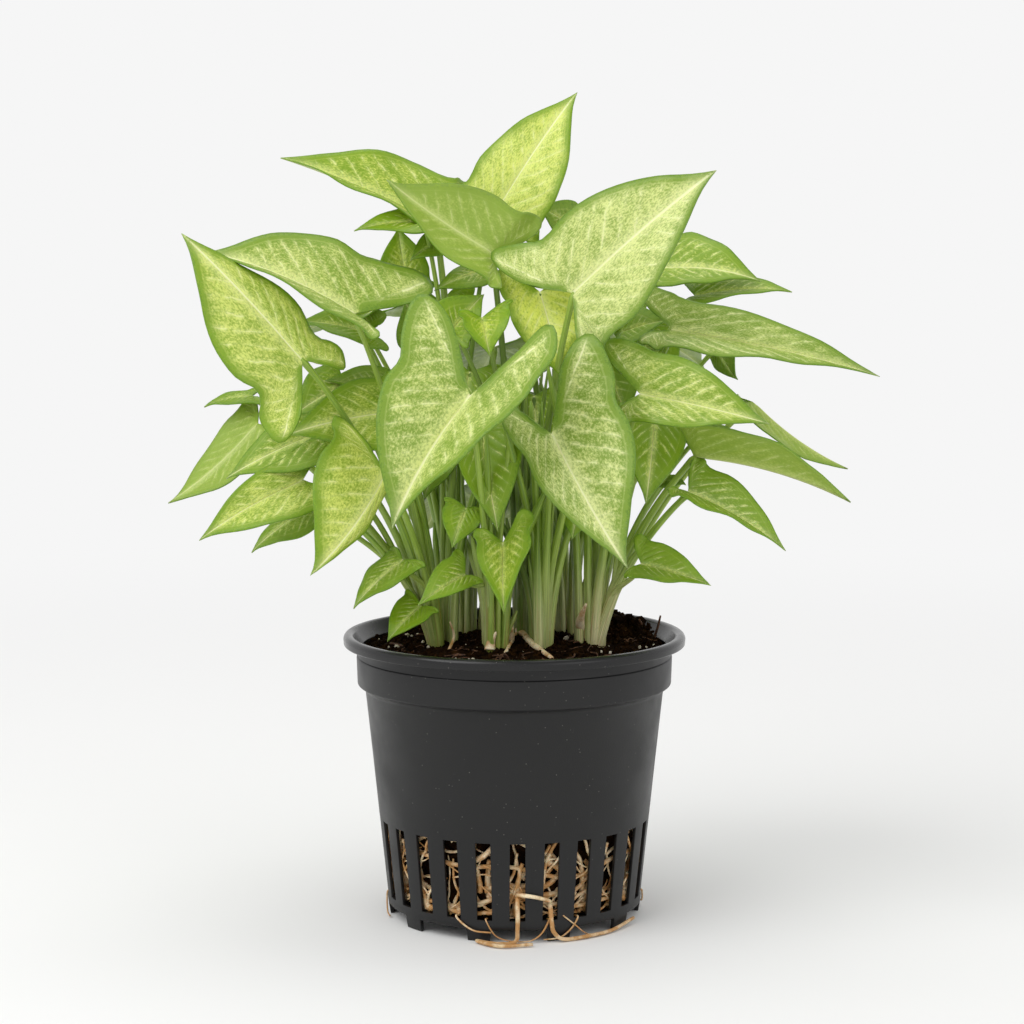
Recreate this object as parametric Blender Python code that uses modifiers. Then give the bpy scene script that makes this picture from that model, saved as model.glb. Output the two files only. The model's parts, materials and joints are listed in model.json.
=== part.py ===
# Arrowhead plant in a slotted nursery pot, at its real size. Metres, +Z up, origin under the pot's middle.
# The blades are placed by the picture points of their heart, tip and two lobes, each with its depth in
# millimetres (minus is nearer the viewer), and by the view that those points were read in.

import math
import random

import bmesh
import bpy
from mathutils import Matrix, Vector

MM = 0.001
SEED = 11

# The view of the picture: 1024 pixels square, focal length in pixels, the rest in millimetres and radians
VIEW_CENTRE = 512.0
VIEW_FOCAL = 2760.0
VIEW_DISTANCE = 1038.0
VIEW_HEIGHT = 276.0
VIEW_SIDE = 0.9
VIEW_PITCH = 0.117

# Pot, in millimetres
LIP_RADIUS = 65.0
LIP_HEIGHT = 4.0
POT_HEIGHT = 108.0
NECK_RADIUS = 59.4
COLLAR_RADIUS = 60.0
COLLAR_TOP = 100.0
COLLAR_BOTTOM = 88.6
BODY_TOP_RADIUS = 56.6
BODY_TOP = 86.6
BASE_RADIUS = 47.7
WALL = 1.3
FLOOR_TOP_EDGE = 7.2
FLOOR_UNDER_EDGE = 5.8
FLOOR_FLAT_RADIUS = 24.0
FLOOR_RISE_RADIUS = 34.0
SKIRT_THICKNESS = 1.6
SLOT_COUNT = 25
SLOT_WIDTH = 5.7
SLOT_BOTTOM = 8.2
SLOT_TOP = 37.8
FACETS_PER_SLOT = 2
POT_TURN = math.radians(-5.9)
NOTCH_COUNT = 10
NOTCH_WIDTH = 21.0
NOTCH_HEIGHT = 4.7
NOTCH_TURN = math.radians(-88)

# Soil and roots, in millimetres
SEAT_GAP = 0.3
SOIL_TOP = 103.0
SOIL_MOUND = 4.0
SOIL_MOUND_SPREAD = 900.0
SOIL_HEAP = 6.0
SOIL_HEAP_PLACE = (44.0, 20.0)
SOIL_HEAP_SPREAD = 160.0
SOIL_ROUGHNESS = (-1.2, 1.3)
SOIL_EDGE_DROP = 1.5
LUMPS = ((45, 12, 5.0), (46, 0, 4.0), (-44, 12, 4.0), (24, 40, 5.0))
TWIG_RADIUS = 0.55
TWIGS = (
    ((-25, -32, 98), (-22, -44, 106), (-18, -46, 107)),
    ((0, -36, 98), (-3, -42, 106), (-5, -47, 107)),
    ((52, 12, 98), (55, 10, 108), (56, 8, 113)),
    ((-52, 8, 97), (-48, 2, 103), (-42, -8, 104)),
)
SOIL_RING_COUNT = 5
SOIL_SEGMENTS = 22
ROOT_LAYER = 4.0
ROOT_BAND_TOP = 41.0
ROOT_RADIUS = 0.85
RING_ROOT_HEIGHTS = (13.0, 27.0)
RING_ROOT_WANDER = (2.4, 1.4)
RING_ROOT_STEPS = 20
CROSS_ROOT_COUNT = 10
CROSS_ROOT_HEIGHTS = (9.2, 16.0, 23.0, 30.0)
CROSS_ROOT_TOP = (33.0, 38.5)

# Leaves, in millimetres
BLADE_THICKNESS = 0.7
BIG_LEAF = 40.0
# Steps round half a blade and out from its heart, for blades longer than the first number
BLADE_GRIDS = ((56.0, 6, 2), (50.0, 5, 2), (0.0, 4, 2))
STUB_DEPTH = 9.0
STUB_RISE = 3.0
STUB_TAPER = 0.8
HOLE_GAP = 0.5
HOLE_DEPTH = 40.0
STUB_SIDES = 8
STALK_TOP_RADIUS = 1.1
STALK_FOOT_RADIUS = 2.4
YOUNG_STALK_RADIUS = 1.25
STALK_LEAN = 0.16
STALK_RISE = 0.45
STALK_REACH = 0.3
STALK_DROP = 0.16
STALK_LEAST_DROP = 8.0
STALK_SPREAD = 0.52
STALK_OVERLAP = 0.6
STALK_TAPER = 1.3
YOUNG_STALK_TOP = 0.7
STALK_STEPS = 4
YOUNG_STALK_STEPS = 3
BRANCH_STEP = 1

# Half of a blade's outline in blade lengths, from the tip round the lobe to the heart, which is at 0, 0
OUTLINE = (
    (0.0, 1.0), (0.018, 0.955), (0.062, 0.87), (0.15, 0.735), (0.24, 0.57), (0.3, 0.41), (0.332, 0.25),
    (0.345, 0.1), (0.362, -0.08), (0.39, -0.28), (0.405, -0.44), (0.385, -0.56), (0.32, -0.585),
    (0.225, -0.49), (0.145, -0.34), (0.085, -0.18), (0.04, -0.06),
)
LOBE_WIDTH = 0.4
LOBE_LENGTH = 0.56
LEAST_REACH = 0.12
USUAL_FULL = (1.2, 1.2)
USUAL_ARCH = 0.05
PUFF = 0.02

# Where each leafy shoot leaves the soil: x, y and the radius of its stool
SHOOTS = {
    "shoot_left": (-27.0, -6.0, 7.0),
    "shoot_front": (-8.0, -19.0, 6.5),
    "shoot_front_right": (11.0, -17.0, 6.0),
    "shoot_right": (28.0, -6.0, 7.5),
    "shoot_centre": (3.0, 1.0, 6.5),
    "shoot_rear_left": (-18.0, 16.0, 7.0),
    "shoot_rear_right": (20.0, 17.0, 7.0),
}

# Each blade: shoot, heart, tip, one lobe, the other lobe, and its arch and fullness where not usual.
# under=True shows its underside to the viewer.
BLADES = (
    # low in front, hearts at the picture's middle
    dict(shoot="shoot_front", heart=(470, 396, -44), tip=(392, 528, -66),
         lobes=((418, 292, -38), (549, 330, -52)), arch=5.0, full=(1.0, 1.7)),
    dict(shoot="shoot_front", heart=(482, 436, -20), tip=(498, 532, -32),
         lobes=((450, 420, -20), (520, 425, -26))),
    dict(shoot="shoot_front", heart=(503, 543, -36), tip=(504, 614, -52),
         lobes=((476, 532, -36), (526, 512, -38))),
    dict(shoot="shoot_front", heart=(466, 508, -26), tip=(452, 548, -34),
         lobes=((444, 506, -26), (484, 512, -26))),
    dict(shoot="shoot_front", heart=(465, 575, -34), tip=(418, 605, -48),
         lobes=((460, 550, -30), (462, 594, -42))),

    dict(shoot="shoot_front_right", heart=(552, 434, -42), tip=(627, 568, -62),
         lobes=((590, 333, -42), (500, 405, -34)), arch=4.0, full=(1.1, 1.35)),
    dict(shoot="shoot_front_right", heart=(580, 500, -20), tip=(572, 540, -28),
         lobes=((562, 496, -18), (598, 500, -18))),

    dict(shoot="shoot_left", heart=(302, 360, -44), tip=(182, 233, -52),
         lobes=((278, 446, -56), (345, 366, -34)), arch=2.0, full=(1.0, 1.35)),
    dict(shoot="shoot_left", heart=(354, 314, -30), tip=(206, 252, -44),
         lobes=((430, 284, 0), (378, 338, -44)), arch=3.0, full=(1.15, 1.2)),
    dict(shoot="shoot_left", heart=(386, 474, -36), tip=(311, 576, -54),
         lobes=((332, 430, -40), (408, 456, -28)), arch=4.0, full=(1.15, 1.2)),
    dict(shoot="shoot_left", heart=(396, 412, -20), tip=(286, 435, -34),
         lobes=((376, 378, -14), (396, 452, -30)), arch=3.0),
    dict(shoot="shoot_left", heart=(392, 396, -6), tip=(325, 380, -16),
         lobes=((398, 372, 0), (402, 408, -12))),
    dict(shoot="shoot_left", heart=(344, 384, -14), tip=(293, 416, -22),
         lobes=((328, 362, -8), (362, 404, -22))),
    dict(shoot="shoot_left", heart=(326, 430, -14), tip=(226, 478, -22),
         lobes=((316, 404, -8), (346, 456, -24))),
    dict(shoot="shoot_left", heart=(303, 480, -24), tip=(199, 540, -34),
         lobes=((322, 436, -18), (326, 506, -36)), arch=3.0),
    dict(shoot="shoot_left", heart=(312, 506, -10), tip=(251, 552, -16),
         lobes=((316, 490, -2), (326, 524, -18))),
    dict(shoot="shoot_left", heart=(258, 424, 2), tip=(169, 504, -4),
         lobes=((246, 400, 12), (284, 430, -10)), under=True),
    dict(shoot="shoot_left", heart=(252, 396, 12), tip=(204, 406, 8),
         lobes=((262, 388, 18), (264, 402, 4))),
    dict(shoot="shoot_left", heart=(403, 560, -22), tip=(353, 608, -32),
         lobes=((392, 550, -14), (412, 576, -30))),
    dict(shoot="shoot_left", heart=(421, 606, -18), tip=(387, 641, -26),
         lobes=((404, 596, -14), (426, 622, -24))),

    # to the right, from the big dark one down
    dict(shoot="shoot_right", heart=(672, 330, -18), tip=(880, 376, -32),
         lobes=((640, 283, -12), (640, 340, -24)), arch=3.0, full=(1.0, 1.5)),
    dict(shoot="shoot_right", heart=(640, 394, -34), tip=(770, 424, -46),
         lobes=((606, 342, -28), (616, 412, -36)), arch=3.0, full=(1.25, 1.5)),
    dict(shoot="shoot_right", heart=(655, 420, -14), tip=(646, 504, -30),
         lobes=((622, 402, -14), (692, 418, -14)), full=(1.1, 1.1)),
    dict(shoot="shoot_right", heart=(752, 402, 0), tip=(847, 470, -4),
         lobes=((738, 394, 10), (748, 414, -10)), under=True),
    dict(shoot="shoot_right", heart=(694, 456, -20), tip=(851, 501, -32),
         lobes=((683, 428, -8), (700, 426, -34)), under=True, arch=3.0),
    dict(shoot="shoot_right", heart=(688, 492, -26), tip=(786, 550, -38),
         lobes=((698, 460, -20), (672, 494, -36))),
    dict(shoot="shoot_right", heart=(641, 564, -28), tip=(711, 585, -38),
         lobes=((636, 536, -24), (634, 578, -34))),
    dict(shoot="shoot_right", heart=(704, 430, -8), tip=(740, 438, -10),
         lobes=((698, 420, -4), (700, 440, -14))),
    dict(shoot="shoot_right", heart=(716, 346, -2), tip=(737, 380, -8),
         lobes=((702, 344, 6), (734, 346, -6))),
    dict(shoot="shoot_right", heart=(665, 480, -6), tip=(686, 484, -10),
         lobes=((664, 474, -2), (662, 488, -10))),

    # the crown's middle, young and yellow-lime
    dict(shoot="shoot_centre", heart=(573, 293, -26), tip=(716, 170, -42),
         lobes=((484, 246, -10), (604, 340, -38)), arch=3.0, full=(0.78, 1.3)),
    dict(shoot="shoot_centre", heart=(540, 292, -6), tip=(566, 384, -19),
         lobes=((500, 270, -2), (590, 284, -7)), full=(1.3, 1.1)),
    dict(shoot="shoot_centre", heart=(482, 318, -16), tip=(490, 356, -26),
         lobes=((460, 310, -16), (510, 306, -20)), full=(1.2, 1.2)),
    dict(shoot="shoot_centre", heart=(452, 330, -8), tip=(484, 294, -6),
         lobes=((434, 306, -8), (470, 342, -14))),
    dict(shoot="shoot_centre", heart=(493, 254, -6), tip=(386, 180, -18),
         lobes=((541, 226, -4), (492, 282, -20)), under=True, arch=2.0),
    dict(shoot="shoot_centre", heart=(534, 396, 2), tip=(540, 470, -6),
         lobes=((504, 384, 4), (566, 390, 2))),
    dict(shoot="shoot_centre", heart=(470, 372, 4), tip=(452, 440, -4),
         lobes=((440, 360, 4), (506, 366, 2))),
    dict(shoot="shoot_rear_right", heart=(520, 440, 22), tip=(525, 512, 16),
         lobes=((492, 428, 24), (546, 428, 22))),
    dict(shoot="shoot_centre", heart=(604, 360, 4), tip=(628, 420, -4),
         lobes=((580, 352, 4), (634, 340, 2))),

    dict(shoot="shoot_rear_left", heart=(437, 226, 20), tip=(281, 157, 12),
         lobes=((458, 184, 34), (462, 246, 6)), arch=2.0),
    dict(shoot="shoot_rear_left", heart=(426, 222, 8), tip=(354, 230, 2),
         lobes=((430, 208, 14), (434, 234, 0))),
    dict(shoot="shoot_rear_left", heart=(406, 284, 22), tip=(398, 226, 26),
         lobes=((380, 290, 20), (432, 288, 22))),
    dict(shoot="shoot_rear_left", heart=(368, 333, 0), tip=(300, 321, -4),
         lobes=((386, 314, 8), (388, 350, -8))),
    dict(shoot="shoot_rear_left", heart=(484, 270, 16), tip=(434, 290, 10),
         lobes=((490, 256, 22), (492, 284, 12))),
    dict(shoot="shoot_rear_left", heart=(440, 240, 12), tip=(410, 260, 6),
         lobes=((432, 230, 14), (448, 252, 8))),
    dict(shoot="shoot_rear_left", heart=(426, 340, 12), tip=(404, 300, 8),
         lobes=((400, 348, 12), (450, 330, 14))),
    dict(shoot="shoot_rear_left", heart=(440, 300, 26), tip=(430, 376, 20),
         lobes=((410, 286, 28), (472, 284, 26))),
    dict(shoot="shoot_rear_left", heart=(400, 404, 22), tip=(380, 466, 16),
         lobes=((372, 390, 24), (428, 386, 22))),
    dict(shoot="shoot_rear_left", heart=(440, 450, 6), tip=(424, 500, -2),
         lobes=((420, 442, 8), (464, 446, 4))),

    dict(shoot="shoot_rear_right", heart=(500, 205, 16), tip=(577, 92, 22),
         lobes=((450, 200, 22), (540, 228, 8)), arch=2.0, full=(1.1, 1.2)),
    dict(shoot="shoot_rear_right", heart=(662, 268, 20), tip=(761, 281, 12),
         lobes=((646, 232, 34), (646, 286, 12)), arch=3.0),
    dict(shoot="shoot_rear_right", heart=(695, 296, 20), tip=(792, 291, 14),
         lobes=((684, 280, 30), (682, 306, 12))),
    dict(shoot="shoot_rear_right", heart=(572, 226, 26), tip=(538, 206, 24),
         lobes=((584, 208, 30), (564, 240, 22))),
    dict(shoot="shoot_rear_right", heart=(622, 332, 4), tip=(668, 320, -2),
         lobes=((612, 312, 10), (618, 350, -4))),
    dict(shoot="shoot_rear_right", heart=(575, 340, 24), tip=(590, 424, 18),
         lobes=((544, 322, 26), (608, 320, 24))),
    dict(shoot="shoot_rear_right", heart=(642, 334, 26), tip=(662, 402, 20),
         lobes=((612, 318, 28), (672, 312, 26))),
    dict(shoot="shoot_rear_right", heart=(590, 440, 8), tip=(606, 500, 0),
         lobes=((566, 432, 10), (622, 436, 8))),
)

# Blades of the far side, which no picture shows: turn round the pot in degrees (90 is straight back), radius
# and height of the heart, blade length, and how far the tip drops
REAR_BLADES = (
    dict(shoot="shoot_rear_left", turn=100, radius=44, height=214, length=56, drop=24),
    dict(shoot="shoot_rear_left", turn=132, radius=62, height=196, length=52, drop=26),
    dict(shoot="shoot_rear_left", turn=158, radius=66, height=226, length=48, drop=14),
    dict(shoot="shoot_rear_left", turn=116, radius=52, height=158, length=40, drop=22),
    dict(shoot="shoot_rear_right", turn=72, radius=58, height=192, length=54, drop=28),
    dict(shoot="shoot_rear_right", turn=44, radius=60, height=222, length=50, drop=18),
    dict(shoot="shoot_rear_right", turn=22, radius=70, height=190, length=44, drop=20),
    dict(shoot="shoot_rear_right", turn=82, radius=50, height=150, length=38, drop=20),
)
REAR_LOBE = (0.42, 0.4)
REAR_LOBE_LIFT = 4.0


def clear_scene():
    for item in list(bpy.data.objects):
        bpy.data.objects.remove(item, do_unlink=True)


def new_collection(name, hidden=False):
    group = bpy.data.collections.new(name)
    bpy.context.scene.collection.children.link(group)
    group.hide_render = hidden
    return group


def material(name, colour, roughness, metallic=0.0):
    made = bpy.data.materials.new(name)
    made.use_nodes = True
    shader = made.node_tree.nodes["Principled BSDF"]
    shader.inputs["Base Color"].default_value = (*colour, 1.0)
    shader.inputs["Roughness"].default_value = roughness
    shader.inputs["Metallic"].default_value = metallic
    return made


def add_object(name, mesh, group, finish=None):
    made = bpy.data.objects.new(name, mesh)
    group.objects.link(made)
    if finish:
        mesh.materials.clear()
        mesh.materials.append(finish)
    return made


def bake_object(source, group, name):
    # The evaluated mesh takes the place of the object and its modifiers, with its caps welded
    depsgraph = bpy.context.evaluated_depsgraph_get()
    mesh = bpy.data.meshes.new_from_object(source.evaluated_get(depsgraph))
    mesh.transform(source.matrix_world)
    bpy.data.objects.remove(source, do_unlink=True)
    cleaner = bmesh.new()
    cleaner.from_mesh(mesh)
    bmesh.ops.remove_doubles(cleaner, verts=cleaner.verts, dist=0.005 * MM)
    bmesh.ops.recalc_face_normals(cleaner, faces=cleaner.faces)
    cleaner.to_mesh(mesh)
    cleaner.free()
    return add_object(name, mesh, group)


def fuse(name, pieces, group, finish, solver="EXACT"):
    # One Boolean union on a collection joins the pieces, and the collection's objects are then removed
    first = pieces[0]
    others = bpy.data.collections.new(name + "_pieces")
    bpy.context.scene.collection.children.link(others)
    for piece in pieces[1:]:
        for home in list(piece.users_collection):
            home.objects.unlink(piece)
        others.objects.link(piece)
    joint = first.modifiers.new("join", "BOOLEAN")
    joint.operation = "UNION"
    joint.operand_type = "COLLECTION"
    joint.collection = others
    joint.solver = solver
    made = bake_object(first, group, name)
    for piece in list(others.objects):
        bpy.data.objects.remove(piece, do_unlink=True)
    bpy.data.collections.remove(others)
    drop_scraps(made.data)
    made.data.materials.clear()
    made.data.materials.append(finish)
    return made


def drop_scraps(mesh):
    # Keeps the largest connected body, without the faceless edges that a union can leave
    work = bmesh.new()
    work.from_mesh(mesh)
    faceless = [edge for edge in work.edges if not edge.link_faces]
    bmesh.ops.delete(work, geom=faceless, context="EDGES")
    unseen = set(work.verts)
    islands = []
    while unseen:
        stack = [unseen.pop()]
        island = [stack[0]]
        while stack:
            for edge in stack.pop().link_edges:
                for vert in edge.verts:
                    if vert in unseen:
                        unseen.remove(vert)
                        stack.append(vert)
                        island.append(vert)
        islands.append(island)
    islands.sort(key=len)
    for island in islands[:-1]:
        bmesh.ops.delete(work, geom=island, context="VERTS")
    work.to_mesh(mesh)
    work.free()


def cut(target, cutters, solver="EXACT"):
    # The cutters' collection stays in the file, drawn as wires and not rendered
    for cutter in cutters.objects:
        cutter.hide_render = True
        cutter.display_type = "WIRE"
    bore = target.modifiers.new("cut", "BOOLEAN")
    bore.operation = "DIFFERENCE"
    bore.operand_type = "COLLECTION"
    bore.collection = cutters
    bore.solver = solver


def shade(item, angle=40.0):
    item.data.shade_smooth()
    item.data.set_sharp_from_angle(angle=math.radians(angle))


def tube(name, points, radii, group, resolution=1):
    # A round tube with filled caps along a line of points in millimetres
    path = bpy.data.curves.new(name, "CURVE")
    path.dimensions = "3D"
    path.bevel_depth = MM
    path.bevel_resolution = resolution
    path.use_fill_caps = True
    line = path.splines.new("POLY")
    line.points.add(len(points) - 1)
    for spot, point, radius in zip(line.points, points, radii):
        spot.co = (*(Vector(point) * MM), 1.0)
        spot.radius = radius
    made = bpy.data.objects.new(name, path)
    group.objects.link(made)
    bpy.context.view_layer.update()
    return bake_object(made, group, name)


def smooth_line(points, steps):
    # Catmull-Rom curve through the points, with the given number of steps to each span
    ends = [points[0] * 2 - points[1]] + list(points) + [points[-1] * 2 - points[-2]]
    line = []
    for i in range(1, len(ends) - 2):
        a, b, c, d = ends[i - 1:i + 3]
        for step in range(steps):
            t = step / steps
            line.append(0.5 * (2 * b + (c - a) * t + (2 * a - 5 * b + 4 * c - d) * t ** 2
                               + (3 * b - a - 3 * c + d) * t ** 3))
    line.append(points[-1])
    return line


def seen(spot):
    # The place in millimetres, in the pot's frame, of a picture point at a depth
    u, v, depth = spot
    right = (u - VIEW_CENTRE) / VIEW_FOCAL
    up = (VIEW_CENTRE - v) / VIEW_FOCAL
    cosine = math.cos(VIEW_PITCH)
    sine = math.sin(VIEW_PITCH)
    ray = Vector((right, cosine + up * sine, up * cosine - sine))
    return Vector((-VIEW_SIDE, -VIEW_DISTANCE, VIEW_HEIGHT)) + ray * ((depth + VIEW_DISTANCE) / ray.y)


def wall_radius(height):
    # Outer radius of the pot's wall below the collar
    return BASE_RADIUS + (BODY_TOP_RADIUS - BASE_RADIUS) * height / BODY_TOP


def turned(name, profile, steps, group):
    # Profile of radius and height in millimetres, turned about the pot's axis
    mesh = bpy.data.meshes.new(name)
    work = bmesh.new()
    start = Matrix.Rotation(POT_TURN, 3, "Z")
    verts = [work.verts.new(start @ Vector((radius, 0.0, height)) * MM) for radius, height in profile]
    for a, b in zip(verts, verts[1:]):
        work.edges.new((a, b))
    work.to_mesh(mesh)
    work.free()
    made = add_object(name, mesh, group)
    screw = made.modifiers.new("turn", "SCREW")
    screw.steps = steps
    screw.render_steps = steps
    screw.use_merge_vertices = True
    screw.merge_threshold = 0.00001
    return made


def box(name, size, centre, turn, group):
    bpy.ops.mesh.primitive_cube_add(size=1.0)
    made = bpy.context.object
    made.name = name
    made.scale = [length * MM for length in size]
    made.rotation_euler = (0.0, 0.0, turn)
    made.location = Vector(centre) * MM
    for home in list(made.users_collection):
        home.objects.unlink(made)
    group.objects.link(made)
    return made


def make_pot(parts, cutters):
    inner_lip = LIP_RADIUS - 4.0
    profile = (
        (0.0, 1.6), (FLOOR_FLAT_RADIUS - 1, 1.6), (FLOOR_RISE_RADIUS - 1, FLOOR_TOP_EDGE),
        (wall_radius(FLOOR_TOP_EDGE) - WALL, FLOOR_TOP_EDGE),
        (BODY_TOP_RADIUS - WALL, BODY_TOP), (COLLAR_RADIUS - WALL, COLLAR_BOTTOM + 1),
        (NECK_RADIUS - WALL, COLLAR_TOP + 4), (inner_lip, POT_HEIGHT), (LIP_RADIUS - 1.4, POT_HEIGHT),
        (LIP_RADIUS, POT_HEIGHT - 1.4), (LIP_RADIUS - 0.2, POT_HEIGHT - LIP_HEIGHT),
        (NECK_RADIUS + 0.2, POT_HEIGHT - LIP_HEIGHT - 0.4), (NECK_RADIUS, COLLAR_TOP + 0.6),
        (COLLAR_RADIUS, COLLAR_TOP - 0.6), (COLLAR_RADIUS - 0.5, COLLAR_BOTTOM),
        (BODY_TOP_RADIUS, BODY_TOP), (BASE_RADIUS, 0.0),
        (BASE_RADIUS - SKIRT_THICKNESS, 0.0), (BASE_RADIUS - SKIRT_THICKNESS + 0.5, FLOOR_UNDER_EDGE),
        (FLOOR_RISE_RADIUS, FLOOR_UNDER_EDGE), (FLOOR_FLAT_RADIUS, 0.0), (0.0, 0.0),
    )
    pot = turned("pot", profile, SLOT_COUNT * FACETS_PER_SLOT, parts)
    slot_height = SLOT_TOP - SLOT_BOTTOM
    slot_middle = (SLOT_TOP + SLOT_BOTTOM) / 2
    half_facet = math.pi / (SLOT_COUNT * FACETS_PER_SLOT)
    for i in range(SLOT_COUNT):
        turn = POT_TURN + 2 * math.pi * i / SLOT_COUNT + half_facet
        radius = wall_radius(slot_middle)
        centre = (radius * math.cos(turn), radius * math.sin(turn), slot_middle)
        box(f"slot_{i}", (10.0, SLOT_WIDTH, slot_height), centre, turn, cutters)
    for i in range(NOTCH_COUNT):
        turn = NOTCH_TURN + 2 * math.pi * i / NOTCH_COUNT
        centre = (BASE_RADIUS * math.cos(turn), BASE_RADIUS * math.sin(turn), 0.0)
        box(f"notch_{i}", (8.0, NOTCH_WIDTH, 2 * NOTCH_HEIGHT), centre, turn, cutters)
    cut(pot, cutters)
    pot.data.materials.append(material("moulded_plastic", (0.028, 0.029, 0.032), 0.55))
    bpy.context.view_layer.update()
    pot = bake_object(pot, parts, "pot")
    pot.data.materials.clear()
    pot.data.materials.append(bpy.data.materials["moulded_plastic"])
    shade(pot)
    return pot


def soil_height(x, y):
    # The peat stands a little higher in the middle and at the right rear
    away = (x - SOIL_HEAP_PLACE[0]) ** 2 + (y - SOIL_HEAP_PLACE[1]) ** 2
    middle = SOIL_MOUND * math.exp(-(x * x + y * y) / SOIL_MOUND_SPREAD)
    return SOIL_TOP + middle + SOIL_HEAP * math.exp(-away / SOIL_HEAP_SPREAD)


def make_soil(parts, holes):
    rng = random.Random(SEED)
    floor = FLOOR_TOP_EDGE + SEAT_GAP
    root_wall = ROOT_LAYER + WALL
    rim = NECK_RADIUS - WALL - 2 * SEAT_GAP
    sides = (
        (wall_radius(floor) - root_wall, floor),
        (wall_radius(ROOT_BAND_TOP) - root_wall, ROOT_BAND_TOP),
        (wall_radius(ROOT_BAND_TOP + 4) - WALL - SEAT_GAP, ROOT_BAND_TOP + 4),
        (BODY_TOP_RADIUS - WALL - SEAT_GAP, BODY_TOP),
        (rim, COLLAR_BOTTOM + 6),
        (rim, SOIL_TOP - SOIL_EDGE_DROP),
    )
    work = bmesh.new()
    rings = []
    for radius, height in sides:
        row = []
        for k in range(SOIL_SEGMENTS):
            turn = 2 * math.pi * k / SOIL_SEGMENTS
            place = Vector((radius * math.cos(turn), radius * math.sin(turn), height))
            row.append(work.verts.new(place * MM))
        rings.append(row)
    for ring in range(1, SOIL_RING_COUNT):
        radius = rim * (1 - ring / SOIL_RING_COUNT)
        row = []
        for k in range(SOIL_SEGMENTS):
            turn = 2 * math.pi * (k + 0.5 * (ring % 2)) / SOIL_SEGMENTS
            x = radius * math.cos(turn)
            y = radius * math.sin(turn)
            height = soil_height(x, y) + rng.uniform(*SOIL_ROUGHNESS)
            row.append(work.verts.new((x * MM, y * MM, height * MM)))
        rings.append(row)
    for low, high in zip(rings, rings[1:]):
        for k in range(SOIL_SEGMENTS):
            after = (k + 1) % SOIL_SEGMENTS
            work.faces.new((low[k], low[after], high[after], high[k]))
    work.faces.new(list(reversed(rings[0])))
    top = work.verts.new((0.0, 0.0, (SOIL_TOP + SOIL_MOUND) * MM))
    for k in range(SOIL_SEGMENTS):
        work.faces.new((rings[-1][k], rings[-1][(k + 1) % SOIL_SEGMENTS], top))
    bmesh.ops.recalc_face_normals(work, faces=work.faces)
    bmesh.ops.triangulate(work, faces=work.faces)
    mesh = bpy.data.meshes.new("soil")
    work.to_mesh(mesh)
    work.free()
    plain = add_object("soil_plain", mesh, parts)
    cut(plain, holes)
    bpy.context.view_layer.update()
    plain = bake_object(plain, parts, "soil_cut")
    soil = fuse("soil", [plain] + soil_bits(parts), parts, material("peat", (0.018, 0.011, 0.007), 0.95))
    return soil


def soil_bits(parts):
    # Lumps of peat and dead twigs, sunk in the surface
    bits = []
    rng = random.Random(SEED + 1)
    for number, (x, y, radius) in enumerate(LUMPS):
        bpy.ops.mesh.primitive_ico_sphere_add(subdivisions=1, radius=radius * MM)
        lump = bpy.context.object
        lump.name = f"lump_{number}"
        lump.location = Vector((x, y, soil_height(x, y))) * MM
        lump.rotation_euler = (rng.uniform(0, 3), rng.uniform(0, 3), rng.uniform(0, 3))
        bpy.context.view_layer.update()
        bits.append(bake_object(lump, parts, lump.name))
    for number, points in enumerate(TWIGS):
        line = smooth_line([Vector(point) for point in points], 2)
        bits.append(tube(f"twig_{number}", line, [TWIG_RADIUS] * len(line), parts, 0))
    return bits


def on_wall(turn, height, depth):
    # A point a depth inside the pot's inner face, minus is outside
    radius = wall_radius(height) - WALL - depth
    return Vector((radius * math.cos(turn), radius * math.sin(turn), height))


def ring_height(number, turn):
    # Height of a circling root, which wanders up and down
    slow = RING_ROOT_WANDER[0] * math.sin(3 * turn + 1.7 * number)
    return RING_ROOT_HEIGHTS[number] + slow + RING_ROOT_WANDER[1] * math.sin(7 * turn)


def make_roots(parts):
    # Roots that circle the ball behind the slots, roots that cross them, and the ones that grew out
    rng = random.Random(SEED + 2)
    middle = ROOT_LAYER / 2
    strands = []
    for number in range(len(RING_ROOT_HEIGHTS)):
        turns = [2 * math.pi * k / RING_ROOT_STEPS for k in range(RING_ROOT_STEPS)]
        points = [on_wall(turn, ring_height(number, turn), middle) for turn in turns]
        strands.append(ring_tube(f"ring_root_{number}", points, ROOT_RADIUS, parts))
    for number in range(CROSS_ROOT_COUNT):
        turn = 2 * math.pi * (number + rng.uniform(-0.3, 0.3)) / CROSS_ROOT_COUNT
        lean = rng.uniform(-0.45, 0.45)
        heights = CROSS_ROOT_HEIGHTS + (rng.uniform(*CROSS_ROOT_TOP),)
        points = []
        for step, height in enumerate(heights):
            wander = lean * (step / 4) + rng.uniform(-0.05, 0.05)
            points.append(on_wall(turn + wander, height, middle + rng.uniform(-0.15, 0.15)))
        radius = ROOT_RADIUS * rng.uniform(0.8, 1.1)
        strands.append(tube(f"cross_root_{number}", points, [radius] * len(points), parts, 0))
    strands.extend(outer_roots(parts))
    return fuse("roots", strands, parts, material("root", (0.62, 0.47, 0.28), 0.7), "MANIFOLD")


def ring_tube(name, points, radius, parts):
    # A closed loop of root
    path = bpy.data.curves.new(name, "CURVE")
    path.dimensions = "3D"
    path.bevel_depth = radius * MM
    path.bevel_resolution = 0
    line = path.splines.new("POLY")
    line.points.add(len(points) - 1)
    for spot, point in zip(line.points, points):
        spot.co = (*(point * MM), 1.0)
    line.use_cyclic_u = True
    made = bpy.data.objects.new(name, path)
    parts.objects.link(made)
    bpy.context.view_layer.update()
    return bake_object(made, parts, name)


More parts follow.
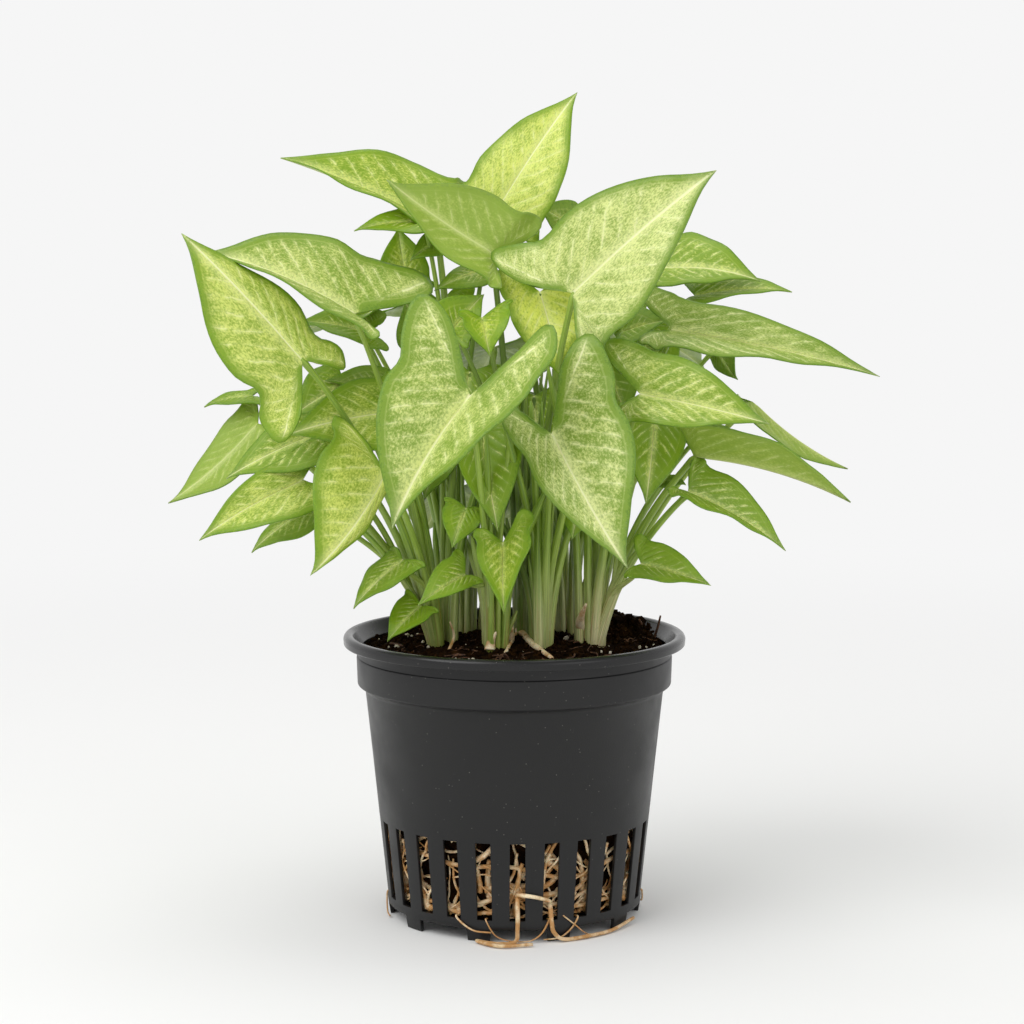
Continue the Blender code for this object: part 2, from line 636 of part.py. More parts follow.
def slot_turn(index):
    # Angle of a slot's middle, counted from the one nearest the front
    pitch = 2 * math.pi / SLOT_COUNT
    half_facet = math.pi / (SLOT_COUNT * FACETS_PER_SLOT)
    nearest = round((-math.pi / 2 - half_facet - POT_TURN) / pitch)
    return POT_TURN + (nearest + index) * pitch + half_facet


def outer_roots(parts):
    # Roots that leave by a slot, hang over the skirt and lie on the surface
    middle = ROOT_LAYER / 2
    floor = ROOT_RADIUS + 0.25
    front = slot_turn(0)
    second = slot_turn(1)
    third = slot_turn(2)
    out = -(WALL + ROOT_RADIUS + 0.6)
    low = ring_height(0, front)
    high = ring_height(0, second)
    paths = (
        # down the skirt from the second slot and along the floor to the right
        (on_wall(second, high, middle), on_wall(second, high - 1.0, -1.0), on_wall(second, 8.0, out - 0.6),
         on_wall(second + 0.02, 4.0, out - 0.8), on_wall(second + 0.1, floor, out - 1.2),
         on_wall(second + 0.32, floor, out - 1.0), on_wall(second + 0.55, floor, out - 0.6),
         on_wall(third + 0.6, 2.4, out - 0.4)),
        # from the front slot down to a loop on the floor before the notch
        (on_wall(front, low, middle), on_wall(front, low - 1.0, -1.0), on_wall(front, 6.5, out - 0.6),
         on_wall(front - 0.02, floor, out - 1.8), on_wall(front - 0.16, floor, out - 4.2),
         on_wall(front - 0.3, floor, out - 1.6), on_wall(front - 0.12, floor, out - 7.2),
         on_wall(front + 0.1, floor, out - 5.0)),
        # over the bar between the two slots
        (on_wall(front, low, middle), on_wall(front + 0.01, low + 1.5, -1.0),
         on_wall((front + second) / 2, (low + high) / 2 + 2.5, out - 0.5),
         on_wall(second - 0.01, high + 1.5, -1.0), on_wall(second, high, middle)),
    )
    made = []
    for number, path in enumerate(paths):
        line = smooth_line(list(path), 2)
        made.append(tube(f"outer_root_{number}", line, [ROOT_RADIUS] * len(line), parts, 0))
    return made


def outline_points(count):
    # Evenly spaced points along half of the blade's outline
    line = smooth_line([Vector((x, y)) for x, y in OUTLINE], 8)
    lengths = [0.0]
    for a, b in zip(line, line[1:]):
        lengths.append(lengths[-1] + (b - a).length)
    points = []
    for k in range(count + 1):
        want = lengths[-1] * k / (count + 0.35)
        after = max(1, next(i for i, length in enumerate(lengths) if length >= want))
        part = (want - lengths[after - 1]) / (lengths[after] - lengths[after - 1])
        points.append(line[after - 1].lerp(line[after], part))
    return points


def blade_frame(blade):
    # Heart, tip, and for each half: sideways vector, lobe reach and fullness, all in millimetres
    if "turn" in blade:
        heart, tip, lobes = rear_points(blade)
    else:
        heart = seen(blade["heart"])
        tip = seen(blade["tip"])
        lobes = [seen(spot) for spot in blade["lobes"]]
    length = (tip - heart).length
    along = (tip - heart) / length
    halves = []
    for lobe, full in zip(lobes, blade.get("full", USUAL_FULL)):
        reach = -(lobe - heart).dot(along)
        side = (lobe - heart) + along * reach
        reach = max(reach, LEAST_REACH * length)
        halves.append((side / LOBE_WIDTH, reach / LOBE_LENGTH, full))
    # The upper face looks at the viewer, or away where the underside shows
    normal = halves[1][0].cross(tip - heart)
    toward = Vector((0, 0, 1)) if "turn" in blade else Vector((0, -1, 0.3))
    if (normal.dot(toward) < 0) != blade.get("under", False):
        halves.reverse()
    return heart, tip, halves


def rear_points(blade):
    # The four points of a blade that faces away from the viewer
    turn = math.radians(blade["turn"])
    out = Vector((math.cos(turn), math.sin(turn), 0))
    side = Vector((-math.sin(turn), math.cos(turn), 0))
    heart = out * blade["radius"] + Vector((0, 0, blade["height"]))
    flat = math.sqrt(blade["length"] ** 2 - blade["drop"] ** 2)
    tip = heart + out * flat - Vector((0, 0, blade["drop"]))
    across, back = (share * blade["length"] for share in REAR_LOBE)
    lift = Vector((0, 0, REAR_LOBE_LIFT))
    lobes = [heart + side * across * sign - out * back + lift for sign in (1, -1)]
    return heart, tip, lobes


def blade_point(frame, half, x, y, arch, puff):
    # A point of the outline's plane on the real, curved blade
    heart, tip, halves = frame
    side, reach, full = halves[half]
    length = (tip - heart).length
    along = (tip - heart) / length
    wide = 1 + (full - 1) * max(0.0, math.cos((y - 0.15) * 1.7))
    place = heart + along * (y * length if y > 0 else y * reach) + side * x * wide
    middle = (halves[1][0].normalized() - halves[0][0].normalized()).cross(along).normalized()
    own = (halves[1][0].cross(along) if half else along.cross(halves[0][0])).normalized()
    lift = middle.lerp(own, min(1.0, x / LOBE_WIDTH)).normalized()
    bend = arch * 4 * max(0.0, y) * (1 - y)
    swell = puff * math.sin(math.pi * min(1.0, x / 0.42))
    return place + lift * (bend + swell)


def make_blade(name, blade, parts):
    frame = blade_frame(blade)
    length = (frame[1] - frame[0]).length
    around, out = next(grid[1:] for grid in BLADE_GRIDS if length > grid[0])
    arch = blade.get("arch", USUAL_ARCH * length)
    puff = PUFF * length
    outline = outline_points(around)
    work = bmesh.new()
    heart = work.verts.new(frame[0] * MM)
    spine = [work.verts.new(blade_point(frame, 0, 0.0, (k + 1) / out, arch, puff) * MM) for k in range(out)]
    for half in (0, 1):
        rows = [spine]
        for spot in outline[1:]:
            row = []
            for k in range(out):
                flat = spot * (k + 1) / out
                row.append(work.verts.new(blade_point(frame, half, flat.x, flat.y, arch, puff) * MM))
            rows.append(row)
        order = 1 if half else -1
        for near, far in zip(rows, rows[1:]):
            work.faces.new([heart, far[0], near[0]][::order])
            for k in range(out - 1):
                work.faces.new([near[k], far[k], far[k + 1], near[k + 1]][::order])
    bmesh.ops.triangulate(work, faces=work.faces)
    mesh = bpy.data.meshes.new(name)
    work.to_mesh(mesh)
    work.free()
    made = add_object(name, mesh, parts)
    shell = made.modifiers.new("thicken", "SOLIDIFY")
    shell.thickness = BLADE_THICKNESS * MM
    shell.offset = 0.0
    bpy.context.view_layer.update()
    return bake_object(made, parts, name), frame


def stalk_line(foot, heart, steps):
    # A stalk rises steeply from its foot, then bends out and comes to the heart from below
    rise = heart.z - foot.z
    out = Vector((heart.x - foot.x, heart.y - foot.y, 0))
    first = foot + out * STALK_LEAN + Vector((0, 0, rise * STALK_RISE))
    last = heart - out * STALK_REACH - Vector((0, 0, max(STALK_LEAST_DROP, rise * STALK_DROP)))
    points = []
    for k in range(steps + 1):
        t = k / steps
        points.append(foot * (1 - t) ** 3 + first * 3 * t * (1 - t) ** 2 + last * 3 * t * t * (1 - t)
                      + heart * t ** 3)
    return points


def make_shoot(name, parts, holes, finish):
    # One stool in the soil with its stalks and blades
    x, y, radius = SHOOTS[name]
    ground = soil_height(x, y)
    bottom = SOIL_TOP - STUB_DEPTH
    height = ground + STUB_RISE - bottom
    bpy.ops.mesh.primitive_cone_add(vertices=STUB_SIDES, radius1=radius * MM,
                                    radius2=radius * STUB_TAPER * MM, depth=height * MM)
    stool = bpy.context.object
    stool.location = Vector((x, y, bottom + height / 2)) * MM
    bpy.context.view_layer.update()
    stool = bake_object(stool, parts, name + "_stool")
    bpy.ops.mesh.primitive_cylinder_add(vertices=STUB_SIDES, radius=(radius + HOLE_GAP) * MM,
                                        depth=HOLE_DEPTH * MM)
    hole = bpy.context.object
    hole.name = name + "_hole"
    hole.location = Vector((x, y, bottom - SEAT_GAP + HOLE_DEPTH / 2)) * MM
    for home in list(hole.users_collection):
        home.objects.unlink(hole)
    holes.objects.link(hole)
    pieces = [stool]
    blades = [blade for blade in BLADES + REAR_BLADES if blade["shoot"] == name]
    made = []
    for number, blade in enumerate(blades):
        leaf, frame = make_blade(f"{name}_blade_{number}", blade, parts)
        pieces.append(leaf)
        made.append((frame[0], frame[1], number))
    # Big blades' stalks leave the stool, and a young blade's stalk leaves the sheath of the nearest big one
    made.sort(key=lambda item: (item[1] - item[0]).length, reverse=True)
    grown = []
    for heart, tip, number in made:
        length = (tip - heart).length
        big = length > BIG_LEAF or len(grown) < 2
        away = Vector((heart.x - x, heart.y - y, 0))
        if big:
            spread = radius * STALK_SPREAD * min(1.0, away.length / BIG_LEAF)
            foot = Vector((x, y, ground)) + away.normalized() * spread
            reach = (STALK_FOOT_RADIUS, STALK_TOP_RADIUS)
        else:
            foot = min(grown, key=lambda line: (line[-1] - heart).length)[BRANCH_STEP]
            reach = (YOUNG_STALK_RADIUS, YOUNG_STALK_RADIUS * YOUNG_STALK_TOP)
        steps = STALK_STEPS if big else YOUNG_STALK_STEPS
        line = stalk_line(foot, heart + (tip - heart) * (STALK_OVERLAP / length), steps)
        if big:
            grown.append(line)
        thinned = [min(1.0, STALK_TAPER * k / steps) for k in range(steps + 1)]
        radii = [reach[0] + (reach[1] - reach[0]) * part for part in thinned]
        pieces.append(tube(f"{name}_stalk_{number}", line, radii, parts, 0))
    shoot = fuse(name, pieces, parts, finish, "MANIFOLD")
    shade(shoot, 60.0)
    return shoot


def main():
    clear_scene()
    parts = new_collection("arrowhead_plant")
    pot_cutters = new_collection("pot_cutters", hidden=True)
    holes = new_collection("soil_cutters", hidden=True)
    make_pot(parts, pot_cutters)
    for number, name in enumerate(SHOOTS):
        finish = material(f"leaf_{name}", (0.33 - 0.02 * number, 0.55, 0.09), 0.45)
        make_shoot(name, parts, holes, finish)
    make_soil(parts, holes)
    make_roots(parts)


main()
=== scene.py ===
import json
import math
import random

import bmesh
import bpy
import numpy as np
from mathutils import Matrix, Vector, noise

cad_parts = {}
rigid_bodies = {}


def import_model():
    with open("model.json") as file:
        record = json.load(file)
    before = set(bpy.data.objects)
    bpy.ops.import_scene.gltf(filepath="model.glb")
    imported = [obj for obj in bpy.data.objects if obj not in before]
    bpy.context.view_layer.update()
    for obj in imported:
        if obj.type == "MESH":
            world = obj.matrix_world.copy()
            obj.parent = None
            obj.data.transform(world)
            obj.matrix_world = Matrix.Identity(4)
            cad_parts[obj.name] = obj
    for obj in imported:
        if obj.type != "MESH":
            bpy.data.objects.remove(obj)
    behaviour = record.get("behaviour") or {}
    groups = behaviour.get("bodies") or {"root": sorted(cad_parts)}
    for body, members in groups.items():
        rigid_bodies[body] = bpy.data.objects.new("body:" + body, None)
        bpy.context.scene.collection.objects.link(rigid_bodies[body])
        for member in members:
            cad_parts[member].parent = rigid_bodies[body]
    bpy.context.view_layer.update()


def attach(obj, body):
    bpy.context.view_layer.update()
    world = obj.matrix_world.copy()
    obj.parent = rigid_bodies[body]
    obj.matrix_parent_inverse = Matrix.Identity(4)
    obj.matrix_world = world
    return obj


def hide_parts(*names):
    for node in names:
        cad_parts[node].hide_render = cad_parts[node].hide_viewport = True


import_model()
print("frame loaded")

mm = 0.001
plantBody = "root"

# The picture's view: 1024 pixels square, focal length in pixels, the rest in millimetres and radians
view = {"centre": 512.0, "focal": 2760.0, "distance": 1038.0, "height": 276.0, "side": 0.9, "pitch": 0.117}


def seen(spot):
    # place in millimetres of a picture point at a depth behind the pot's axis
    u, v, depth = spot
    right = (u - view["centre"]) / view["focal"]
    up = (view["centre"] - v) / view["focal"]
    cosine = math.cos(view["pitch"])
    sine = math.sin(view["pitch"])
    ray = Vector((right, cosine + up * sine, up * cosine - sine))
    start = Vector((-view["side"], -view["distance"], view["height"]))
    return start + ray * ((depth + view["distance"]) / ray.y)


def hexColour(code, alpha=1.0):
    # sRGB hex to linear
    channels = [int(code[i:i + 2], 16) / 255 for i in (1, 3, 5)]
    linear = [c / 12.92 if c <= 0.04045 else ((c + 0.055) / 1.055) ** 2.4 for c in channels]
    return (*linear, alpha)


def ringPoint(radius, turn, height=0.0):
    return Vector((radius * math.cos(turn), radius * math.sin(turn), height))


def addNode(tree, kind, settings=None, links=None, out=0):
    # one node with its settings, and its inputs given as values or as other nodes' outputs
    node = tree.nodes.new("ShaderNode" + kind)
    for key, value in (settings or {}).items():
        setattr(node, key, value)
    for key, value in (links or {}).items():
        socket = node.inputs[key]
        if isinstance(value, bpy.types.NodeSocket):
            tree.links.new(value, socket)
        else:
            socket.default_value = value
    return node.outputs[out]


def calc(tree, operation, a, b=0.0, c=0.0, clamp=False):
    return addNode(tree, "Math", {"operation": operation, "use_clamp": clamp}, {0: a, 1: b, 2: c})


def times(tree, a, b, clamp=False):
    return calc(tree, "MULTIPLY", a, b, 0.0, clamp)


def plus(tree, a, b, clamp=False):
    return calc(tree, "ADD", a, b, 0.0, clamp)


def minus(tree, a, b):
    return calc(tree, "SUBTRACT", a, b)


def larger(tree, a, b):
    return calc(tree, "MAXIMUM", a, b)


def remap(tree, value, low, high, toLow=0.0, toHigh=1.0):
    links = {"Value": value, "From Min": low, "From Max": high, "To Min": toLow, "To Max": toHigh}
    return addNode(tree, "MapRange", {"interpolation_type": "SMOOTHSTEP"}, links)


def blendColour(tree, factor, a, b):
    links = {0: factor, 6: a, 7: b}
    return addNode(tree, "Mix", {"data_type": "RGBA"}, links, 2)


def grain(tree, where, scale, detail=3.0, roughness=0.55):
    links = {"Vector": where, "Scale": scale, "Detail": detail, "Roughness": roughness}
    return addNode(tree, "TexNoise", {}, links)


def splitUp(tree, vector):
    # the three parts of a vector
    node = tree.nodes.new("ShaderNodeSeparateXYZ")
    tree.links.new(vector, node.inputs[0])
    return node.outputs


def objectPlace(tree):
    return addNode(tree, "TexCoord", {}, {}, 3)


def meshValue(tree, name):
    return addNode(tree, "Attribute", {"attribute_name": name}, {}, 1)


def addRelief(tree, shader, height, strength, depthMm):
    bump = addNode(tree, "Bump", {}, {"Strength": strength, "Distance": depthMm * mm, "Height": height})
    tree.links.new(bump, shader.inputs["Normal"])


def newMaterial(name, roughness, settings=None):
    made = bpy.data.materials.new(name)
    made.use_nodes = True
    tree = made.node_tree
    shader = tree.nodes["Principled BSDF"]
    shader.inputs["Roughness"].default_value = roughness
    for key, value in (settings or {}).items():
        shader.inputs[key].default_value = value
    return made, tree, shader


def finishPiece(name, mesh, materials, replaced=(), smooth=True):
    # a piece that rides on the plant's body, takes the materials it is given and hides the solids it replaces
    piece = bpy.data.objects.new(name, mesh)
    bpy.context.scene.collection.objects.link(piece)
    for material in materials:
        mesh.materials.append(material)
    if smooth:
        mesh.shade_smooth()
    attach(piece, plantBody)
    if replaced:
        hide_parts(*replaced)
    return piece


class MeshParts:
    # gathers the vertices, faces, materials and per-vertex values of many small shells

    def __init__(self, *valueNames):
        self.verts = []
        self.faces = []
        self.slots = []
        self.values = {name: [] for name in valueNames}

    def add(self, verts, faces, slots=0, **values):
        start = len(self.verts)
        self.verts.extend(verts)
        self.faces.extend([tuple(start + i for i in face) for face in faces])
        self.slots.extend([slots] * len(faces) if isinstance(slots, int) else slots)
        for name, numbers in values.items():
            self.values[name].extend(numbers)

    def build(self, name):
        mesh = bpy.data.meshes.new(name)
        mesh.from_pydata([tuple(c * mm for c in vert) for vert in self.verts], [], self.faces)
        mesh.polygons.foreach_set("material_index", self.slots)
        for key, numbers in self.values.items():
            layer = mesh.attributes.new(key, "FLOAT_VECTOR", "POINT")
            layer.data.foreach_set("vector", np.array(numbers, dtype=np.float32).ravel())
        mesh.update()
        return mesh


def sweep(points, radii, sides, seed=0.0, groove=0.0):
    # closed tube along a line of points: its vertices, faces and (share of the length, angle, seed) each
    verts = []
    faces = []
    unit = []
    side = None
    last = len(points) - 1
    for k, point in enumerate(points):
        ahead = (points[min(k + 1, last)] - points[max(k - 1, 0)]).normalized()
        if side is None:
            side = ahead.orthogonal().normalized()
        side = (side - ahead * side.dot(ahead)).normalized()
        other = ahead.cross(side)
        for j in range(sides):
            turn = 2 * math.pi * j / sides
            radius = radii[k] * (1 - groove * math.exp(-((turn - math.pi) / 0.5) ** 2))
            verts.append(point + side * (radius * math.cos(turn)) + other * (radius * math.sin(turn)))
            unit.append((k / last, turn, seed))
    for k in range(last):
        for j in range(sides):
            after = (j + 1) % sides
            faces.append((k * sides + j, k * sides + after, (k + 1) * sides + after, (k + 1) * sides + j))
    faces.append(tuple(range(sides - 1, -1, -1)))
    faces.append(tuple(last * sides + j for j in range(sides)))
    return verts, faces, unit


def smoothLine(points, steps):
    # Catmull-Rom curve through the points
    ends = [points[0] * 2 - points[1]] + list(points) + [points[-1] * 2 - points[-2]]
    line = []
    for i in range(1, len(ends) - 2):
        a, b, c, d = ends[i - 1:i + 3]
        for step in range(steps):
            t = step / steps
            line.append(0.5 * (2 * b + (c - a) * t + (2 * a - 5 * b + 4 * c - d) * t ** 2
                               + (3 * b - a - 3 * c + d) * t ** 3))
    line.append(points[-1])
    return line


# Pot: injection-moulded polypropylene, charcoal. The mould's fine satin grain breaks up the light
pot = {
    "lipRadius": 65.0, "height": 108.0, "neckRadius": 59.4, "collarRadius": 60.0,
    "collarTop": 100.0, "collarBottom": 88.6, "bodyTop": 86.6, "bodyTopRadius": 56.6, "baseRadius": 47.7,
    "wall": 1.3, "floorTop": 7.2, "floorUnder": 5.8, "flatRadius": 24.0, "riseRadius": 34.0, "skirt": 1.6,
    "slotCount": 25, "slotWidth": 5.7, "slotBottom": 8.2, "slotTop": 37.8, "turn": math.radians(-5.9),
    "notchCount": 10, "notchWidth": 21.0, "notchHeight": 4.7, "notchTurn": math.radians(-88),
    "segments": 200, "dark": "#111112", "light": "#191919", "dust": "#77746e", "roughness": (0.36, 0.5),
    "lipGloss": 0.2, "grainMm": 0.5, "cloudMm": 22.0, "scuffMm": 1.6, "dustMm": 2.6,
}


def wallRadius(height):
    return pot["baseRadius"] + (pot["bodyTopRadius"] - pot["baseRadius"]) * height / pot["bodyTop"]


def arcPoints(centre, radius, fromDegrees, toDegrees, steps):
    points = []
    for k in range(steps + 1):
        turn = math.radians(fromDegrees + (toDegrees - fromDegrees) * k / steps)
        points.append((centre[0] + radius * math.cos(turn), centre[1] + radius * math.sin(turn)))
    return points


def plasticMaterial():
    made, tree, shader = newMaterial("mouldedPolypropyleneSatin", 0.43)
    where = objectPlace(tree)
    fine = grain(tree, where, 1 / (pot["grainMm"] * mm), 2.0)
    cloudy = grain(tree, where, 1 / (pot["cloudMm"] * mm), 4.0)
    stretched = addNode(tree, "Mapping", {}, {"Vector": where, "Scale": (1.0, 1.0, 0.12)})
    scuffs = remap(tree, grain(tree, stretched, 1 / (pot["scuffMm"] * mm), 5.0, 0.7), 0.66, 0.78)
    # stray dust and lint, half a millimetre across, drawn a little coarse so that it shows
    speckDistance = addNode(tree, "TexVoronoi", {}, {"Vector": where, "Scale": 1 / (pot["dustMm"] * mm)})
    specks = remap(tree, speckDistance, 0.04, 0.11, 1.0, 0.0)
    keep = remap(tree, grain(tree, where, 1 / (6 * mm), 1.0), 0.43, 0.55)
    dusty = larger(tree, times(tree, times(tree, specks, keep), 0.5), times(tree, scuffs, 0.16))
    shade = blendColour(tree, cloudy, hexColour(pot["dark"]), hexColour(pot["light"]))
    tree.links.new(blendColour(tree, dusty, shade, hexColour(pot["dust"])), shader.inputs["Base Color"])
    rough = plus(tree, remap(tree, cloudy, 0.3, 0.7, *pot["roughness"]), times(tree, dusty, 0.3))
    # the lip is smoother than the wall, so it takes a soft highlight
    lip = remap(tree, splitUp(tree, where)[2], 102.5 * mm, 103.5 * mm, 0.0, -pot["lipGloss"])
    tree.links.new(plus(tree, rough, lip), shader.inputs["Roughness"])
    addRelief(tree, shader, fine, 0.5, 0.06)
    shader.inputs["IOR"].default_value = 1.49
    shader.inputs["Specular IOR Level"].default_value = 0.38
    return made


def addCutter(name, size, centre, turn, group):
    bpy.ops.mesh.primitive_cube_add(size=1.0)
    cutter = bpy.context.object
    cutter.name = name
    cutter.matrix_world = (Matrix.Translation(Vector(centre) * mm) @ Matrix.Rotation(turn, 4, "Z")
                           @ Matrix.Diagonal((*(Vector(size) * mm), 1.0)))
    for home in list(cutter.users_collection):
        home.objects.unlink(cutter)
    group.objects.link(cutter)


def makePot():
    p = pot
    wall = p["wall"]
    lipMiddle = p["lipRadius"] - 2.0
    lipTop = p["height"] - 1.9
    profile = [(0.0, 1.6), (p["flatRadius"] - 1, 1.6), (p["riseRadius"] - 1, p["floorTop"])]
    profile += [(wallRadius(p["floorTop"]) - wall, p["floorTop"])]
    profile += [(p["bodyTopRadius"] - wall, p["bodyTop"]), (p["collarRadius"] - wall, p["collarBottom"] + 1)]
    profile += [(p["neckRadius"] - wall, p["collarTop"] + 3)]
    profile += arcPoints((lipMiddle - 0.3, lipTop), 1.9, 170, 95, 5)
    profile += arcPoints((lipMiddle + 0.1, lipTop), 1.9, 80, 0, 6)
    profile += [(p["lipRadius"] - 0.1, p["height"] - 3.0)]
    profile += arcPoints((p["lipRadius"] - 0.7, p["height"] - 3.5), 0.6, 0, -90, 4)
    profile += arcPoints((p["neckRadius"] + 1.2, p["height"] - 5.3), 1.2, 90, 180, 4)
    profile += [(p["neckRadius"] + 0.05, p["collarTop"] + 1.0)]
    profile += arcPoints((p["collarRadius"] - 0.8, p["collarTop"] - 1.0), 0.8, 70, 0, 4)
    profile += arcPoints((p["collarRadius"] - 1.3, p["collarBottom"] + 1.0), 1.0, 0, -80, 4)
    profile += [(p["bodyTopRadius"] + 0.9, p["bodyTop"] + 0.9)]
    profile += [(p["bodyTopRadius"] + 0.1, p["bodyTop"] - 0.2)]
    profile += [(wallRadius(60), 60.0), (wallRadius(39), 39.0), (wallRadius(7.4), 7.4)]
    # the skirt steps out a hair below the slots, where the mould's two halves meet
    profile += [(wallRadius(6.8) + 0.25, 6.8), (wallRadius(3.5) + 0.2, 3.5)]
    profile += arcPoints((p["baseRadius"] - 0.4, 0.4), 0.4, 0, -90, 3)
    profile += [(p["baseRadius"] - p["skirt"], 0.0), (p["baseRadius"] - p["skirt"] + 0.5, p["floorUnder"])]
    profile += [(p["riseRadius"], p["floorUnder"]), (p["flatRadius"], 0.0), (0.0, 0.0)]
    mesh = bpy.data.meshes.new("potProfile")
    start = Matrix.Rotation(p["turn"], 3, "Z")
    verts = [start @ Vector((radius, 0.0, height)) * mm for radius, height in profile]
    mesh.from_pydata(verts, [(i, i + 1) for i in range(len(verts) - 1)], [])
    turned = bpy.data.objects.new("potBlank", mesh)
    bpy.context.scene.collection.objects.link(turned)
    screw = turned.modifiers.new("turn", "SCREW")
    screw.steps = p["segments"]
    screw.render_steps = p["segments"]
    screw.use_merge_vertices = True
    screw.merge_threshold = 0.00001
    cutters = bpy.data.collections.new("potCutters")
    bpy.context.scene.collection.children.link(cutters)
    tall = p["slotTop"] - p["slotBottom"]
    middle = (p["slotTop"] + p["slotBottom"]) / 2
    for i in range(p["slotCount"]):
        turn = p["turn"] + 2 * math.pi * (i + 0.25) / p["slotCount"]
        centre = ringPoint(wallRadius(middle), turn, middle)
        addCutter(f"slot{i}", (10.0, p["slotWidth"], tall), centre, turn, cutters)
    for i in range(p["notchCount"]):
        turn = p["notchTurn"] + 2 * math.pi * i / p["notchCount"]
        centre = ringPoint(p["baseRadius"], turn)
        addCutter(f"notch{i}", (8.0, p["notchWidth"], 2 * p["notchHeight"]), centre, turn, cutters)
    cut = turned.modifiers.new("cut", "BOOLEAN")
    cut.operation = "DIFFERENCE"
    cut.operand_type = "COLLECTION"
    cut.collection = cutters
    cut.solver = "EXACT"
    soften = turned.modifiers.new("soften", "BEVEL")
    soften.width = 0.22 * mm
    soften.segments = 2
    soften.limit_method = "ANGLE"
    soften.angle_limit = math.radians(50)
    bpy.context.view_layer.update()
    depsgraph = bpy.context.evaluated_depsgraph_get()
    made = bpy.data.meshes.new_from_object(turned.evaluated_get(depsgraph))
    bpy.data.objects.remove(turned, do_unlink=True)
    for cutter in list(cutters.objects):
        bpy.data.objects.remove(cutter, do_unlink=True)
    bpy.data.collections.remove(cutters)
    made.materials.clear()
    made.name = "potShell"
    piece = finishPiece("potShell", made, [plasticMaterial()], ["pot"])
    made.set_sharp_from_angle(angle=math.radians(38))
    print("pot", len(made.polygons), "faces")
    return piece


makePot()


# Peat: milled sphagnum, damp, so nearly black with brown fibres, with crumbs of perlite
soil = {
    "top": 103.0, "mound": 4.0, "heap": 6.0, "heapPlace": (44.0, 20.0), "rootLayer": 4.0, "bandTop": 41.0,
    "gap": 0.3, "rings": 64, "segments": 176, "crumbs": 2600, "clods": 170, "clodPlace": (38.0, 20.0),
    "perlite": 46, "seed": 5, "clodMm": 4.0, "fibreMm": 0.7, "pitMm": 0.6, "dark": "#100804",
    "brown": "#40280f", "perliteWhite": "#d9d0bd", "perliteStain": "#8d7a5e",
}


def soilHeight(x, y):
    # a low mound in the middle and a heap at the right rear
    across, back = soil["heapPlace"]
    rear = math.exp(-((x - across) ** 2 + (y - back) ** 2) / 160)
    return soil["top"] + soil["mound"] * math.exp(-(x * x + y * y) / 900) + soil["heap"] * rear


def clodHeight(x, y):
    # the same surface, broken up into clods and grains
    lump = noise.noise(Vector((x / 7, y / 7, 3.1))) * 1.3
    grit = noise.noise(Vector((x / 2.3, y / 2.3, 8.2))) * 0.9 + noise.noise(Vector((x, y, 1.7))) * 0.35
    return soilHeight(x, y) + lump + grit


def peatMaterial():
    made, tree, shader = newMaterial("milledPeatDamp", 0.95, {"Specular IOR Level": 0.03})
    where = objectPlace(tree)
    clods = grain(tree, where, 1 / (soil["clodMm"] * mm), 6.0, 0.65)
    turned = {"Vector": where, "Rotation": (0.3, 0.5, 0.8), "Scale": (1.0, 0.18, 1.0)}
    fibres = addNode(tree, "Mapping", {}, turned)
    threads = remap(tree, grain(tree, fibres, 1 / (soil["fibreMm"] * mm), 3.0, 0.6), 0.56, 0.7)
    tint = plus(tree, remap(tree, clods, 0.4, 0.75, 0.0, 0.55), times(tree, threads, 0.5), True)
    colour = blendColour(tree, tint, hexColour(soil["dark"]), hexColour(soil["brown"]))
    tree.links.new(colour, shader.inputs["Base Color"])
    addRelief(tree, shader, plus(tree, clods, times(tree, threads, 0.3)), 0.7, 0.8)
    return made


def perliteMaterial():
    # expanded volcanic glass: chalky white, pitted, stained by the peat in its hollows
    made, tree, shader = newMaterial("expandedPerlite", 0.8)
    pits = grain(tree, objectPlace(tree), 1 / (soil["pitMm"] * mm), 4.0, 0.6)
    stain = remap(tree, pits, 0.3, 0.55)
    colour = blendColour(tree, stain, hexColour(soil["perliteStain"]), hexColour(soil["perliteWhite"]))
    tree.links.new(colour, shader.inputs["Base Color"])
    addRelief(tree, shader, pits, 0.6, 0.3)
    return made


def crumb(centre, size, rng, flat=1.0):
    # a small rough stone shape from an icosphere
    shape = bmesh.new()
    bmesh.ops.create_icosphere(shape, subdivisions=1, radius=1.0)
    turn = Matrix.Rotation(rng.uniform(0, 6.28), 3, Vector((rng.random(), rng.random(), 1)).normalized())
    stretch = Vector((rng.uniform(0.7, 1.3), rng.uniform(0.7, 1.3), rng.uniform(0.6, 1.0) * flat))
    verts = []
    for vert in shape.verts:
        spot = Vector(a * b for a, b in zip(vert.co, stretch)) * (size * rng.uniform(0.75, 1.15))
        verts.append(centre + turn @ spot)
    faces = [tuple(v.index for v in face.verts) for face in shape.faces]
    shape.free()
    return verts, faces


